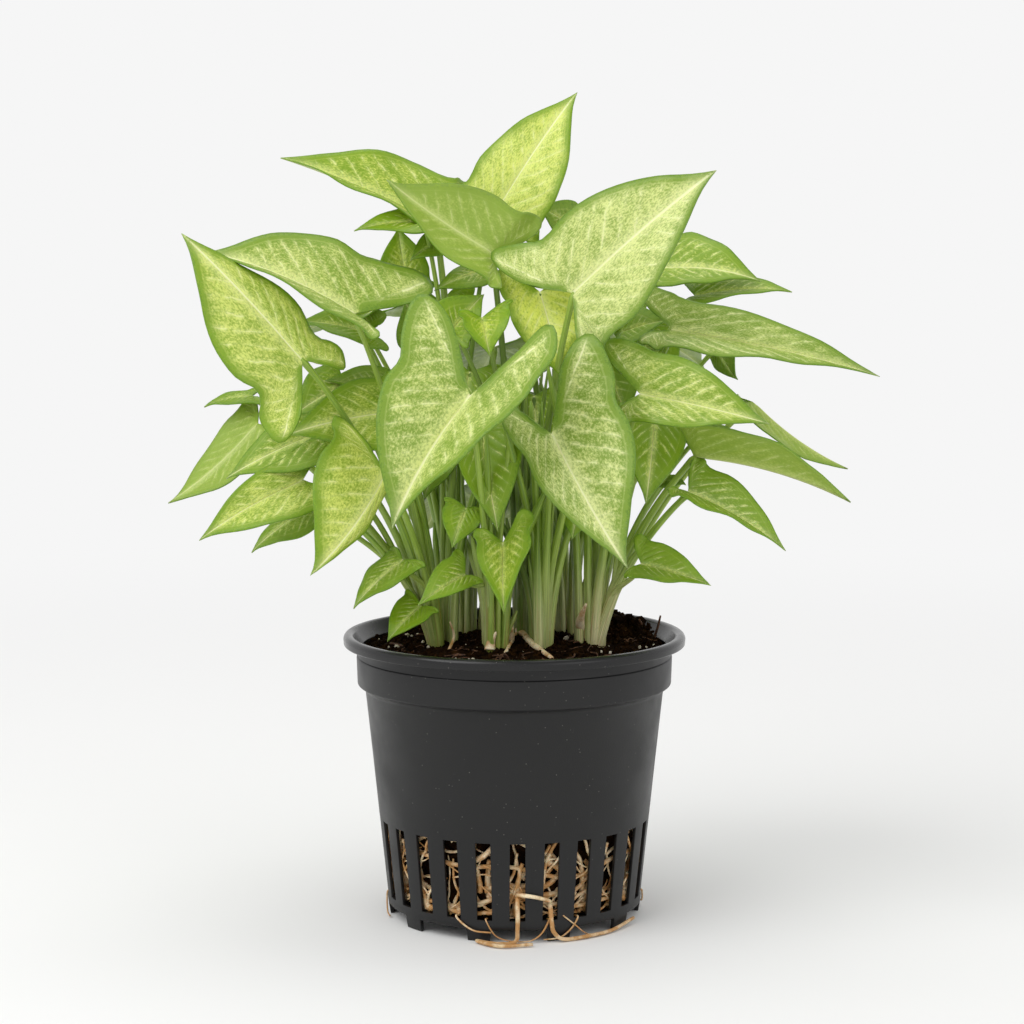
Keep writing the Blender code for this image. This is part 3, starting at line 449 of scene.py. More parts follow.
def makeSoil():
    rng = random.Random(soil["seed"])
    parts = MeshParts()
    rim = pot["neckRadius"] - pot["wall"] - 2 * soil["gap"]
    floor = pot["floorTop"] + soil["gap"]
    inset = soil["rootLayer"] + pot["wall"]
    band = soil["bandTop"]
    segments = soil["segments"]
    sides = [(wallRadius(floor) - inset, floor)]
    for k in range(1, 13):
        height = floor + (band - floor) * k / 12
        sides.append((wallRadius(height) - inset, height))
    sides += [(wallRadius(band + 4) - pot["wall"] - soil["gap"], band + 4)]
    sides += [(pot["bodyTopRadius"] - pot["wall"] - soil["gap"], pot["bodyTop"])]
    sides += [(rim, pot["collarBottom"] + 6)]
    verts = []
    for number, (radius, height) in enumerate(sides):
        for j in range(segments):
            turn = 2 * math.pi * j / segments
            rough = 0.0
            if 0 < number < 13:
                rough = noise.noise(ringPoint(9, turn, height / 4)) * 1.1 - 0.2
            verts.append(ringPoint(radius + rough, turn, height))
    for ring in range(soil["rings"]):
        radius = rim * (1 - ring / soil["rings"])
        for j in range(segments):
            turn = 2 * math.pi * j / segments
            x = radius * math.cos(turn)
            y = radius * math.sin(turn)
            edge = min(1.0, (rim - radius) / 3)
            height = clodHeight(x, y) * edge + (soil["top"] - 2.0) * (1 - edge)
            verts.append(Vector((x, y, height)))
    rows = len(sides) + soil["rings"]
    faces = [tuple(range(segments - 1, -1, -1))]
    for row in range(rows - 1):
        for j in range(segments):
            after = (j + 1) % segments
            start = row * segments
            faces.append((start + j, start + after, start + segments + after, start + segments + j))
    verts.append(Vector((0, 0, clodHeight(0, 0))))
    for j in range(segments):
        start = (rows - 1) * segments
        faces.append((start + j, start + (j + 1) % segments, len(verts) - 1))
    parts.add(verts, faces)
    for number in range(soil["crumbs"]):
        radius = (rim - 1.5) * math.sqrt(rng.random())
        turn = rng.uniform(0, 2 * math.pi)
        x = radius * math.cos(turn)
        y = radius * math.sin(turn)
        size = rng.choice((0.35, 0.5, 0.5, 0.8, 1.2))
        parts.add(*crumb(Vector((x, y, clodHeight(x, y) + size * 0.3)), size, rng))
    # the heap of clods at the right rear, and a few loose ones
    across, back = soil["clodPlace"]
    for number in range(soil["clods"]):
        x = rng.gauss(across, 7.5)
        y = rng.gauss(back, 8.0)
        if math.hypot(x, y) < rim - 3:
            lift = 2.5 * math.exp(-((x - across) ** 2 + (y - back) ** 2) / 90) * rng.random()
            size = rng.uniform(0.7, 2.6)
            parts.add(*crumb(Vector((x, y, clodHeight(x, y) + lift)), size, rng))
    mesh = parts.build("peatPlug")
    finishPiece("peatPlug", mesh, [peatMaterial()], ["soil"], smooth=False)
    white = MeshParts()
    named = ((407, 638), (418, 634), (423, 644), (428, 650), (431, 643), (397, 647), (566, 640), (600, 640))
    for number in range(soil["perlite"]):
        if number < len(named):
            spot = seen((*named[number], 0))
            place = [named[number][0], named[number][1], 0.0]
            for step in range(4):
                place[2] -= (soilHeight(spot.x, spot.y) - spot.z) * 6.1
                spot = seen(place)
            x, y = spot.x, spot.y
            size = rng.uniform(0.9, 1.3)
        else:
            radius = (rim - 4) * math.sqrt(rng.random())
            turn = rng.uniform(0, 2 * math.pi)
            x, y = radius * math.cos(turn), radius * math.sin(turn)
            size = rng.uniform(0.4, 0.9)
        if math.hypot(x, y) < rim - 3:
            white.add(*crumb(Vector((x, y, clodHeight(x, y) + size * 0.5)), size, rng))
    finishPiece("perliteCrumbs", white.build("perliteCrumbs"), [perliteMaterial()], smooth=False)
    print("soil", len(mesh.polygons), "faces")


makeSoil()


# Roots: fleshy, cream where young and tan where the skin has dried, with fine cross wrinkles
roots = {
    "seed": 17, "strands": 290, "thin": 0.35, "thick": 1.5, "sides": 8, "cream": "#f4e4c0",
    "tan": "#b98a52", "bark": "#5b3c20", "blotchMm": 5.0, "wrinkleMm": 0.45,
    "ringHeights": (13.0, 27.0), "radius": 0.85,
    "top": 39.0, "bottom": 8.4, "step": 2.6,
}


def rootMaterial():
    settings = {"Subsurface Weight": 0.1, "Subsurface Scale": 0.5 * mm}
    made, tree, shader = newMaterial("rootSkinDried", 0.6, settings)
    unit = splitUp(tree, meshValue(tree, "rootUnit"))
    where = objectPlace(tree)
    blotch = grain(tree, where, 1 / (roots["blotchMm"] * mm), 4.0, 0.6)
    wrinkle = grain(tree, where, 1 / (roots["wrinkleMm"] * mm), 3.0, 0.6)
    aged = plus(tree, remap(tree, blotch, 0.35, 0.7), times(tree, unit[2], 0.5), True)
    # roots that lie wet at the bottom go tan
    stale = remap(tree, splitUp(tree, where)[2], 8 * mm, 20 * mm, 0.3, 0.0)
    aged = plus(tree, aged, stale, True)
    colour = blendColour(tree, aged, hexColour(roots["cream"]), hexColour(roots["tan"]))
    stained = times(tree, remap(tree, wrinkle, 0.5, 0.75), 0.35)
    colour = blendColour(tree, stained, colour, hexColour(roots["bark"]))
    tree.links.new(colour, shader.inputs["Base Color"])
    addRelief(tree, shader, wrinkle, 0.5, 0.15)
    return made


def onWall(turn, height, depth):
    return ringPoint(wallRadius(height) - pot["wall"] - depth, turn, height)


def ringHeight(number, turn):
    slow = 2.4 * math.sin(3 * turn + 1.7 * number)
    return roots["ringHeights"][number] + slow + 1.4 * math.sin(7 * turn)


def slotTurn(index):
    pitch = 2 * math.pi / pot["slotCount"]
    nearest = round((-math.pi / 2 - pitch / 4 - pot["turn"]) / pitch)
    return pot["turn"] + (nearest + index) * pitch + pitch / 4


def outerRoots():
    # the routes of the roots that grew out, as the solids have them: points, radius
    middle = soil["rootLayer"] / 2
    floor = roots["radius"] + 0.25
    front = slotTurn(0)
    second = slotTurn(1)
    third = slotTurn(2)
    out = -(pot["wall"] + roots["radius"] + 0.6)
    low = ringHeight(0, front)
    high = ringHeight(0, second)
    paths = [
        ([onWall(second, high, middle), onWall(second, high - 1.0, -1.0), onWall(second, 8.0, out - 0.6),
          onWall(second + 0.02, 4.0, out - 0.8), onWall(second + 0.1, floor, out - 1.2),
          onWall(second + 0.32, floor, out - 1.0), onWall(second + 0.55, floor, out - 0.6),
          onWall(third + 0.6, 2.4, out - 0.4)], 0.85),
        ([onWall(front, low, middle), onWall(front, low - 1.0, -1.0), onWall(front, 6.5, out - 0.6),
          onWall(front - 0.02, floor, out - 1.8), onWall(front - 0.16, floor, out - 4.2),
          onWall(front - 0.3, floor, out - 1.6), onWall(front - 0.12, floor, out - 7.2),
          onWall(front + 0.1, floor, out - 5.0)], 0.85),
        ([onWall(front, low, middle), onWall(front + 0.01, low + 1.5, -1.0),
          onWall((front + second) / 2, (low + high) / 2 + 2.5, out - 0.5),
          onWall(second - 0.01, high + 1.5, -1.0), onWall(second, high, middle)], 0.8),
    ]
    # thin ones in the notches, on the skirt and at the foot of the slots: slot, top, half way, foot, lean
    thin = (
        (-10, 8.6, 7.5, 2.4, -6), (-6, 8.4, 5.0, 1.0, 6), (-4, 9.0, 6.5, 4.0, 9), (3, 9.5, 6.0, 1.0, 12),
        (4, 8.4, 4.4, 1.2, -9), (6, 8.4, 6.0, 2.0, 8), (-2, 8.4, 3.0, 0.6, 10), (2, 8.3, 3.6, 0.6, -8),
        (9, 8.4, 6.2, 3.2, 5), (-8, 8.4, 4.0, 1.4, 4), (13, 8.4, 4.0, 1.0, 7), (-16, 8.4, 5.0, 1.0, 5),
    )
    for number, (index, top, half, foot, lean) in enumerate(thin):
        turn = slotTurn(index) if abs(index) > 4 else slotTurn(0) + index * 0.12
        shift = math.radians(lean)
        line = [onWall(turn, top, 1.0), onWall(turn, top - 0.1, -1.4),
                onWall(turn + shift * 0.4, half, -2.2),
                onWall(turn + shift, foot + 0.4, -2.4 - 0.2 * (number % 3)),
                onWall(turn + shift * 1.8, foot, -2.6)]
        paths.append((line, 0.28 + 0.06 * (number % 3)))
    return paths


def makeRoots():
    rng = random.Random(roots["seed"])
    parts = MeshParts("rootUnit")
    for number in range(len(roots["ringHeights"])):
        turns = [2 * math.pi * k / 120 for k in range(121)]
        line = [onWall(turn, ringHeight(number, turn), soil["rootLayer"] / 2) for turn in turns]
        verts, faces, unit = sweep(line, [roots["radius"]] * len(line), roots["sides"], rng.random())
        parts.add(verts, faces, rootUnit=unit)
    for number in range(roots["strands"]):
        turn = rng.uniform(0, 2 * math.pi)
        height = 8.6 + 30 * rng.random() ** 1.9
        heading = rng.choice((rng.uniform(-0.5, 0.5), rng.uniform(0.9, 2.2), rng.uniform(-2.2, -0.9)))
        radius = roots["thin"] + (roots["thick"] - roots["thin"]) * rng.random() ** 2.2
        depth = 0.3 + radius + (soil["rootLayer"] - radius - 0.6) * rng.random() ** 1.6
        line = []
        for step in range(rng.randint(7, 13)):
            line.append(onWall(turn, height, depth))
            heading += rng.uniform(-0.3, 0.3)
            turn += roots["step"] * math.cos(heading) / 48
            height += roots["step"] * math.sin(heading)
            if height < roots["bottom"] + radius or height > roots["top"]:
                heading = -heading
                height = min(max(height, roots["bottom"] + radius), roots["top"])
            depth = min(max(depth + rng.uniform(-0.6, 0.6), 0.25 + radius), soil["rootLayer"] + 0.4)
        line = smoothLine(line, 3)
        radii = [radius * (1 - 0.45 * k / len(line)) * rng.uniform(0.94, 1.06) for k in range(len(line))]
        verts, faces, unit = sweep(line, radii, roots["sides"], rng.random())
        parts.add(verts, faces, rootUnit=unit)
    for path, radius in outerRoots():
        line = smoothLine(path, 6)
        radii = [radius * (1.08 - 0.35 * k / len(line)) * rng.uniform(0.95, 1.05) for k in range(len(line))]
        verts, faces, unit = sweep(line, radii, 10, rng.random())
        parts.add(verts, faces, rootUnit=unit)
    mesh = parts.build("rootMat")
    skin = rootMaterial()
    finishPiece("rootMat", mesh, [skin], ["roots"])
    print("roots", len(mesh.polygons), "faces")
    return skin


rootSkin = makeRoots()


# Leaves. A blade has the picture points of its heart, tip and two lobes, with a depth in millimetres. Its tone
# runs from 0, young and yellow-lime, to 1, mature and greyer, and dense is how full its green flecks are.
# Colours go in pairs, for those two tones: the pale ground, the green of the flecks and the margin.
leaf = {
    "seed": 23, "around": 40, "out": 18, "thickness": 0.5, "bigLeaf": 40.0, "edgeWave": 0.016, "quilt": 0.26,
    "veinStep": 0.135, "veinRise": (1.1, 0.9), "lobeVein": (0.824, 0.566), "waist": 0.07, "lobeWidth": 0.4,
    "lobeLength": 0.56, "leastReach": 0.12, "arch": 0.05, "full": (1.2, 1.2), "rearLobe": (0.42, 0.4),
    "rearLift": 4.0, "youngStalk": 1.25, "youngTaper": 0.7, "stalkSides": 14, "stalkSteps": 26,
    "sheaths": 9, "creamSide": 15.0,
    "sheathShares": (0.0, 0.12, 0.3, 0.5, 1.0), "sheathRadii": (2.25, 2.0, 1.6, 1.25, 1.0),
    "outline": ((0.0, 1.0), (0.018, 0.955), (0.062, 0.87), (0.15, 0.735), (0.24, 0.57), (0.3, 0.41),
                (0.332, 0.25), (0.345, 0.1), (0.362, -0.08), (0.39, -0.28), (0.405, -0.44), (0.385, -0.56),
                (0.32, -0.585), (0.225, -0.49), (0.145, -0.34), (0.085, -0.18), (0.04, -0.06)),
    "flecksPerMm": 1.8, "spotMm": 1.1, "vein": "#f2f4c4",
    "upperSide": (("#d8e252", "#dde594"), ("#82a40c", "#7d9a34"), ("#5a870a", "#4c7a1c")),
    "underside": (("#b8c956", "#b4c46a"), ("#86a422", "#7a9a34"), ("#849b40", "#6f8a45")),
    "stalkGreens": ("#5f851a", "#9ab63c"), "stalkPale": "#b4c662", "stalkCream": "#eee6b6",
    # the dark green for the middle of the clump is painted shade among the stalks
    "stalkDry": "#a8784c", "stalkFootBrown": "#6e3f1e", "stalkPaintedShade": "#3f5a14", "stalkSpot": "#6b4a22",
}
# each shoot's place in the soil, and the radius of its foot
shoots = {
    "shoot_left": (-27.0, -6.0, 7.0), "shoot_front": (-8.0, -19.0, 6.5),
    "shoot_front_right": (11.0, -17.0, 6.0), "shoot_right": (28.0, -6.0, 7.5),
    "shoot_centre": (3.0, 1.0, 6.5), "shoot_rear_left": (-18.0, 16.0, 7.0),
    "shoot_rear_right": (20.0, 17.0, 7.0),
}
leafBlades = {
    # low in front, and small ones that hang over the soil
    "shoot_front": (
        ((470, 396, -44), (392, 528, -66), (418, 292, -38), (549, 330, -52),
         dict(tone=0.9, dense=0.45, arch=5.0, full=(1.0, 1.7))),
        ((482, 436, -20), (498, 532, -32), (450, 420, -20), (520, 425, -26), dict(tone=0.3, dense=0.95)),
        ((503, 543, -36), (504, 614, -52), (482, 529, -36), (522, 512, -38),
         dict(tone=0.3, dense=0.5, full=(1.6, 1.8))),
        ((466, 508, -26), (452, 548, -34), (444, 506, -26), (484, 512, -26), dict(tone=0.35, dense=0.8)),
        ((465, 575, -34), (418, 605, -48), (460, 550, -30), (462, 594, -42), dict(tone=0.35, dense=0.75)),
    ),
    "shoot_front_right": (
        ((552, 434, -42), (627, 568, -62), (590, 333, -42), (500, 405, -34),
         dict(tone=1, dense=0.45, arch=4.0, full=(1.1, 1.35))),
        ((580, 500, -20), (572, 540, -28), (562, 496, -18), (598, 500, -18), dict(tone=0.5, dense=0.8)),
    ),
    # to the left
    "shoot_left": (
        ((302, 360, -44), (182, 233, -52), (278, 446, -56), (345, 366, -34),
         dict(tone=0.45, dense=0.35, arch=2.0, full=(1.0, 1.35), waist=0.16)),
        ((354, 314, -30), (206, 252, -44), (430, 284, 0), (378, 338, -44),
         dict(tone=0.75, dense=0.45, arch=3.0, full=(1.15, 1.2))),
        ((386, 474, -36), (311, 576, -54), (332, 430, -40), (408, 456, -28),
         dict(tone=0.35, dense=0.3, arch=4.0, full=(1.15, 1.2))),
        ((396, 412, -20), (286, 435, -34), (376, 378, -14), (396, 452, -30),
         dict(tone=0.3, dense=0.5, arch=3.0)),
        ((392, 396, -6), (325, 380, -16), (398, 372, 0), (402, 408, -12), {}),
        ((344, 384, -14), (293, 416, -22), (328, 362, -8), (362, 404, -22), {}),
        ((326, 430, -14), (226, 478, -22), (316, 404, -8), (346, 456, -24), {}),
        ((303, 480, -24), (199, 540, -34), (322, 436, -18), (326, 506, -36),
         dict(tone=0.45, dense=0.4, arch=3.0)),
        ((312, 506, -10), (251, 552, -16), (316, 490, -2), (326, 524, -18), {}),
        ((258, 424, 2), (169, 504, -4), (246, 400, 12), (284, 430, -10), dict(under=True)),
        ((252, 396, 12), (204, 406, 8), (262, 388, 18), (264, 402, 4), {}),
        ((403, 560, -22), (353, 608, -32), (392, 550, -14), (412, 576, -30), {}),
        ((421, 606, -18), (387, 641, -26), (404, 596, -14), (426, 622, -24), dict(tone=0.2, dense=0.8)),
    ),
    # to the right, from the big dark one down
    "shoot_right": (
        ((672, 330, -18), (880, 376, -32), (640, 283, -12), (640, 340, -24),
         dict(tone=0.9, dense=0.5, arch=3.0, full=(1.0, 1.5))),
        ((640, 394, -34), (770, 424, -46), (606, 342, -28), (616, 412, -36),
         dict(tone=0.6, dense=0.5, arch=3.0, full=(1.25, 1.5))),
        ((655, 420, -14), (646, 504, -30), (622, 402, -14), (692, 418, -14),
         dict(tone=0.3, dense=0.8, full=(1.1, 1.1))),
        ((752, 402, 0), (847, 470, -4), (738, 394, 10), (748, 414, -10), dict(under=True)),
        ((694, 456, -20), (851, 501, -32), (683, 428, -8), (700, 426, -34), dict(under=True, arch=3.0)),
        ((688, 492, -26), (786, 550, -38), (698, 460, -20), (672, 494, -36), dict(tone=0.6, dense=0.7)),
        ((641, 564, -28), (711, 585, -38), (636, 536, -24), (634, 578, -34), dict(tone=0.4, dense=0.8)),
        ((704, 430, -8), (740, 438, -10), (698, 420, -4), (700, 440, -14), {}),
        ((716, 346, -2), (737, 380, -8), (702, 344, 6), (734, 346, -6), dict(tone=0.8, dense=0.9)),
        ((665, 480, -6), (686, 484, -10), (664, 474, -2), (662, 488, -10), {}),
    ),
    # the crown's middle, young and yellow-lime
    "shoot_centre": (
        ((573, 293, -26), (716, 170, -42), (484, 246, -10), (604, 340, -38),
         dict(tone=0.95, dense=0.3, arch=3.0, full=(0.78, 1.3))),
        ((540, 292, -6), (566, 384, -19), (500, 270, -2), (590, 284, -7),
         dict(tone=0.15, dense=0.0, full=(1.3, 1.1))),
        ((482, 318, -16), (490, 356, -26), (460, 310, -16), (510, 306, -20),
         dict(tone=0.1, dense=0.4, full=(1.2, 1.2))),
        ((452, 330, -8), (484, 294, -6), (434, 306, -8), (470, 342, -14), dict(tone=0.2, dense=0.6)),
        ((493, 254, -6), (386, 180, -18), (541, 226, -4), (492, 282, -20), dict(under=True, arch=2.0)),
        ((534, 396, 2), (540, 470, -6), (504, 384, 4), (566, 390, 2), dict(tone=0.2, dense=0.9)),
        ((470, 372, 4), (452, 440, -4), (440, 360, 4), (506, 366, 2), dict(tone=0.2, dense=0.9)),
        ((604, 360, 4), (628, 420, -4), (580, 352, 4), (634, 340, 2), dict(tone=0.3, dense=0.8)),
    ),
    "shoot_rear_left": (
        ((437, 226, 20), (281, 157, 12), (458, 184, 34), (462, 246, 6),
         dict(tone=0.35, dense=0.5, arch=2.0)),
        ((426, 222, 8), (354, 230, 2), (430, 208, 14), (434, 234, 0), dict(tone=0.2, dense=0.7)),
        ((406, 284, 22), (398, 226, 26), (380, 290, 20), (432, 288, 22), dict(tone=0.2, dense=0.4)),
        ((368, 333, 0), (300, 321, -4), (386, 314, 8), (388, 350, -8), dict(tone=0.5, dense=0.7)),
        ((484, 270, 16), (434, 290, 10), (490, 256, 22), (492, 284, 12), {}),
        ((440, 240, 12), (410, 260, 6), (432, 230, 14), (448, 252, 8), {}),
        ((426, 340, 12), (404, 300, 8), (400, 348, 12), (450, 330, 14), {}),
        ((440, 300, 26), (430, 376, 20), (410, 286, 28), (472, 284, 26), dict(tone=0.2, dense=0.8)),
        ((400, 404, 22), (380, 466, 16), (372, 390, 24), (428, 386, 22), dict(tone=0.2, dense=0.8)),
        ((440, 450, 6), (424, 500, -2), (420, 442, 8), (464, 446, 4), dict(tone=0.3, dense=0.9)),
    ),
    "shoot_rear_right": (
        ((520, 440, 22), (525, 512, 16), (492, 428, 24), (546, 428, 22), dict(tone=0.2, dense=0.95)),
        ((500, 205, 16), (577, 92, 22), (450, 200, 22), (540, 228, 8),
         dict(tone=0.35, dense=0.15, arch=2.0, full=(1.1, 1.2))),
        ((662, 268, 20), (761, 281, 12), (646, 232, 34), (646, 286, 12), dict(arch=3.0)),
        ((695, 296, 20), (792, 291, 14), (684, 280, 30), (682, 306, 12), {}),
        ((572, 226, 26), (538, 206, 24), (584, 208, 30), (564, 240, 22), {}),
        ((622, 332, 4), (668, 320, -2), (612, 312, 10), (618, 350, -4), {}),
        ((575, 340, 24), (590, 424, 18), (544, 322, 26), (608, 320, 24), dict(tone=0.2, dense=0.85)),
        ((642, 334, 26), (662, 402, 20), (612, 318, 28), (672, 312, 26), dict(tone=0.3, dense=0.8)),
        ((590, 440, 8), (606, 500, 0), (566, 432, 10), (622, 436, 8), dict(tone=0.3, dense=0.9)),
    ),
}
# the far side, which the picture doesn't show: turn in degrees, then distance out, height, length and drop
rearBlades = {
    "shoot_rear_left": (
        (100, 44, 214, 56, 24),
        (132, 62, 196, 52, 26),
        (158, 66, 226, 48, 14),
        (116, 52, 158, 40, 22),
    ),
    "shoot_rear_right": (
        (72, 58, 192, 54, 28),
        (44, 60, 222, 50, 18),
        (22, 70, 190, 44, 20),
        (82, 50, 150, 38, 20),
    ),
}
rearNames = ("turn", "radius", "height", "length", "drop")


def veinMasks(tree, x, y, edge, flat):
    # side veins, the lobes' own veins, the midrib, all of them as lines, and the pale flesh beside them
    wobble = minus(tree, grain(tree, flat, 0.11, 2.0), 0.5)
    # side veins leave the midrib at about 50 degrees and curve on towards the tip
    rise, bend = leaf["veinRise"]
    bent = times(tree, x, calc(tree, "MULTIPLY_ADD", x, bend, rise))
    shiver = minus(tree, grain(tree, flat, 0.5, 2.0), 0.5)
    along = calc(tree, "MULTIPLY_ADD", wobble, 0.1, minus(tree, y, bent))
    along = calc(tree, "MULTIPLY_ADD", shiver, 0.014, along)
    step = calc(tree, "FRACT", plus(tree, calc(tree, "DIVIDE", along, leaf["veinStep"]), 10.0))
    sideVein = times(tree, calc(tree, "ABSOLUTE", minus(tree, step, 0.5)), leaf["veinStep"])
    # each lobe has a vein of its own from the heart, and side veins only on its outer side
    lean = calc(tree, "MULTIPLY_ADD", wobble, 0.04, times(tree, y, leaf["lobeVein"][1]))
    lobeSide = calc(tree, "MULTIPLY_ADD", x, leaf["lobeVein"][0], lean)
    ahead = remap(tree, y, -0.04, 0.02)
    outer = larger(tree, remap(tree, lobeSide, 0.0, 0.02), ahead)
    lobeVein = plus(tree, calc(tree, "ABSOLUTE", lobeSide), ahead)
    sideVein = plus(tree, sideVein, minus(tree, 1.0, outer))
    # veins fade at the margin, and here and there along the way
    fade = remap(tree, edge, 0.8, 4.5)
    fade = times(tree, fade, remap(tree, grain(tree, flat, 0.22, 3.0, 0.6), 0.4, 0.62, 0.12, 1.0))
    thinVein = times(tree, remap(tree, sideVein, 0.001, 0.01, 0.6, 0.0), fade)
    lobeLine = times(tree, remap(tree, lobeVein, 0.002, 0.009, 1.0, 0.0), fade)
    midrib = times(tree, remap(tree, x, 0.003, 0.011, 1.0, 0.0), ahead)
    # the vein that gathers them runs along the margin
    rim = calc(tree, "ABSOLUTE", minus(tree, edge, 2.4))
    rimVein = times(tree, remap(tree, rim, 0.1, 0.4, 1.0, 0.0), 0.25)
    lines = larger(tree, larger(tree, thinVein, lobeLine), larger(tree, midrib, rimVein))
    veinHalo = times(tree, remap(tree, sideVein, 0.0, 0.045, 1.0, 0.0), fade)
    lobeHalo = times(tree, remap(tree, lobeVein, 0.0, 0.06, 1.0, 0.0), fade)
    midHalo = times(tree, remap(tree, x, 0.0, 0.07, 1.0, 0.0), ahead)
    halo = larger(tree, times(tree, veinHalo, 0.5), times(tree, lobeHalo, 0.6))
    return thinVein, lobeLine, midrib, lines, larger(tree, halo, times(tree, midHalo, 0.7))


def leafMaterial(name, under):
    # a living leaf: waxy skin over soft green flesh, so a broad sheen and a little light through it
    settings = {"Subsurface Weight": 0.12, "Subsurface Scale": 0.6 * mm, "IOR": 1.42,
                "Subsurface Radius": (0.6, 1.0, 0.25)}
    made, tree, shader = newMaterial(name, 0.42, settings)
    x, y, edge = splitUp(tree, meshValue(tree, "bladeUnit"))
    tone, dense, seed = splitUp(tree, meshValue(tree, "bladeMood"))
    flat = meshValue(tree, "bladeMm")
    thinVein, lobeLine, midrib, lines, halo = veinMasks(tree, x, y, edge, flat)
    # green flecks half a millimetre across lie between the veins, thicker to the margin
    turned = {"Vector": flat, "Rotation": (0.0, 0.0, 0.75), "Scale": (1.0, 0.5, 1.0)}
    fleck = grain(tree, addNode(tree, "Mapping", {}, turned), leaf["flecksPerMm"], 4.0, 0.72)
    cloud = remap(tree, grain(tree, flat, 0.14, 4.0, 0.6), 0.3, 0.7, -0.5, 0.5)
    amount = calc(tree, "MULTIPLY_ADD", cloud, 0.3, remap(tree, dense, 0.0, 1.0, 0.2, 1.0))
    amount = times(tree, amount, calc(tree, "MULTIPLY_ADD", halo, -0.9, 1.0))
    amount = plus(tree, amount, times(tree, remap(tree, edge, 0.4, 5.0, 1.0, 0.0), 0.45))
    level = calc(tree, "MULTIPLY_ADD", amount, -0.32, 0.63)
    green = remap(tree, minus(tree, fleck, level), -0.14, 0.14)
    green = times(tree, green, calc(tree, "MULTIPLY_ADD", lines, -0.85, 1.0))
    clear = calc(tree, "MULTIPLY_ADD", lines, -1.0, 1.0)
    green = calc(tree, "MULTIPLY_ADD", times(tree, amount, 0.35), clear, times(tree, green, 0.75), True)
    if under:
        green = times(tree, green, 0.75)
    finish = leaf["underside" if under else "upperSide"]
    pale, dark, rimDark = (blendColour(tree, tone, hexColour(a), hexColour(b)) for a, b in finish)
    colour = blendColour(tree, green, pale, dark)
    # the veins and the flesh beside them are nearly white on a light blade
    whiter = times(tree, larger(tree, midrib, lobeLine), 0.5)
    whiter = larger(tree, whiter, times(tree, thinVein, 0.35))
    whiter = calc(tree, "MULTIPLY_ADD", halo, 0.3, whiter, True)
    colour = blendColour(tree, times(tree, whiter, 0.4 if under else 1.0), colour, hexColour(leaf["vein"]))
    # the green runs together in a ragged border
    ragged = calc(tree, "MULTIPLY_ADD", minus(tree, fleck, 0.5), 7.0, edge)
    colour = blendColour(tree, remap(tree, ragged, 0.0, 4.0, 0.5, 0.0), colour, dark)
    colour = blendColour(tree, remap(tree, ragged, 0.05, 1.1, 0.5, 0.0), colour, rimDark)
    tree.links.new(colour, shader.inputs["Base Color"])
    tree.links.new(remap(tree, cloud, -0.5, 0.5, 0.36, 0.48), shader.inputs["Roughness"])
    relief = times(tree, lines, 0.8 if under else -0.8)
    relief = plus(tree, relief, times(tree, grain(tree, flat, 3.0, 2.0), 0.25))
    addRelief(tree, shader, relief, 0.45, 0.25)
    return made


def stalkMaterial():
    # sheathed petiole: glossy green above, cream and faintly streaked where it comes from the soil
    settings = {"Subsurface Weight": 0.12, "Subsurface Scale": 0.8 * mm,
                "Subsurface Radius": (0.8, 1.0, 0.3)}
    made, tree, shader = newMaterial("petioleSkinWaxy", 0.4, settings)
    share, turn, seed = splitUp(tree, meshValue(tree, "stalkUnit"))
    height, cream = splitUp(tree, meshValue(tree, "stalkTint"))[:2]
    places = {0: times(tree, share, 1.6), 1: times(tree, turn, 2.2), 2: times(tree, seed, 20.0)}
    joined = addNode(tree, "CombineXYZ", {}, places)
    streak = grain(tree, joined, 2.4, 4.0, 0.6)
    where = objectPlace(tree)
    spots = remap(tree, grain(tree, where, 1 / (leaf["spotMm"] * mm), 3.0, 0.7), 0.6, 0.72)
    low = remap(tree, height, 100.0, 148.0, 1.0, 0.0)
    creamy = times(tree, low, cream)
    creamy = times(tree, creamy, remap(tree, streak, 0.35, 0.65, 0.45, 1.25), True)
    dull, bright = leaf["stalkGreens"]
    green = blendColour(tree, remap(tree, streak, 0.35, 0.65), hexColour(dull), hexColour(bright))
    green = blendColour(tree, times(tree, seed, 0.4), green, hexColour(leaf["stalkPale"]))
    colour = blendColour(tree, creamy, green, hexColour(leaf["stalkCream"]))
    # dry brown skin hangs on the foot in streaks
    dry = remap(tree, grain(tree, joined, 1.1, 3.0, 0.6), 0.52, 0.66)
    dry = times(tree, dry, remap(tree, height, 104.0, 140.0, 0.75, 0.0))
    colour = blendColour(tree, dry, colour, hexColour(leaf["stalkDry"]))
    foot = remap(tree, height, 99.0, 111.0, 1.0, 0.0)
    foot = times(tree, foot, remap(tree, streak, 0.4, 0.7, 0.3, 0.95))
    colour = blendColour(tree, foot, colour, hexColour(leaf["stalkFootBrown"]))
    # painted shade: the stalks are darkened toward the middle of the clump, where they shade one another
    across, back, up = splitUp(tree, where)
    level = addNode(tree, "CombineXYZ", {}, {0: across, 1: back, 2: 0.0})
    away = addNode(tree, "VectorMath", {"operation": "LENGTH"}, {0: level}, 1)
    clumpShade = remap(tree, away, 4 * mm, 34 * mm, 0.6, 0.0)
    colour = blendColour(tree, clumpShade, colour, hexColour(leaf["stalkPaintedShade"]))
    spotted = times(tree, spots, times(tree, low, 0.35))
    colour = blendColour(tree, spotted, colour, hexColour(leaf["stalkSpot"]))
    tree.links.new(colour, shader.inputs["Base Color"])
    addRelief(tree, shader, streak, 0.3, 0.2)
    return made


def shootBlades(name):
    # each blade's places and its own values, the pictured ones first
    rows = leafBlades[name]
    pictured = [dict(more, heart=heart, tip=tip, lobes=lobes) for heart, tip, *lobes, more in rows]
    return pictured + [dict(zip(rearNames, row)) for row in rearBlades.get(name, ())]


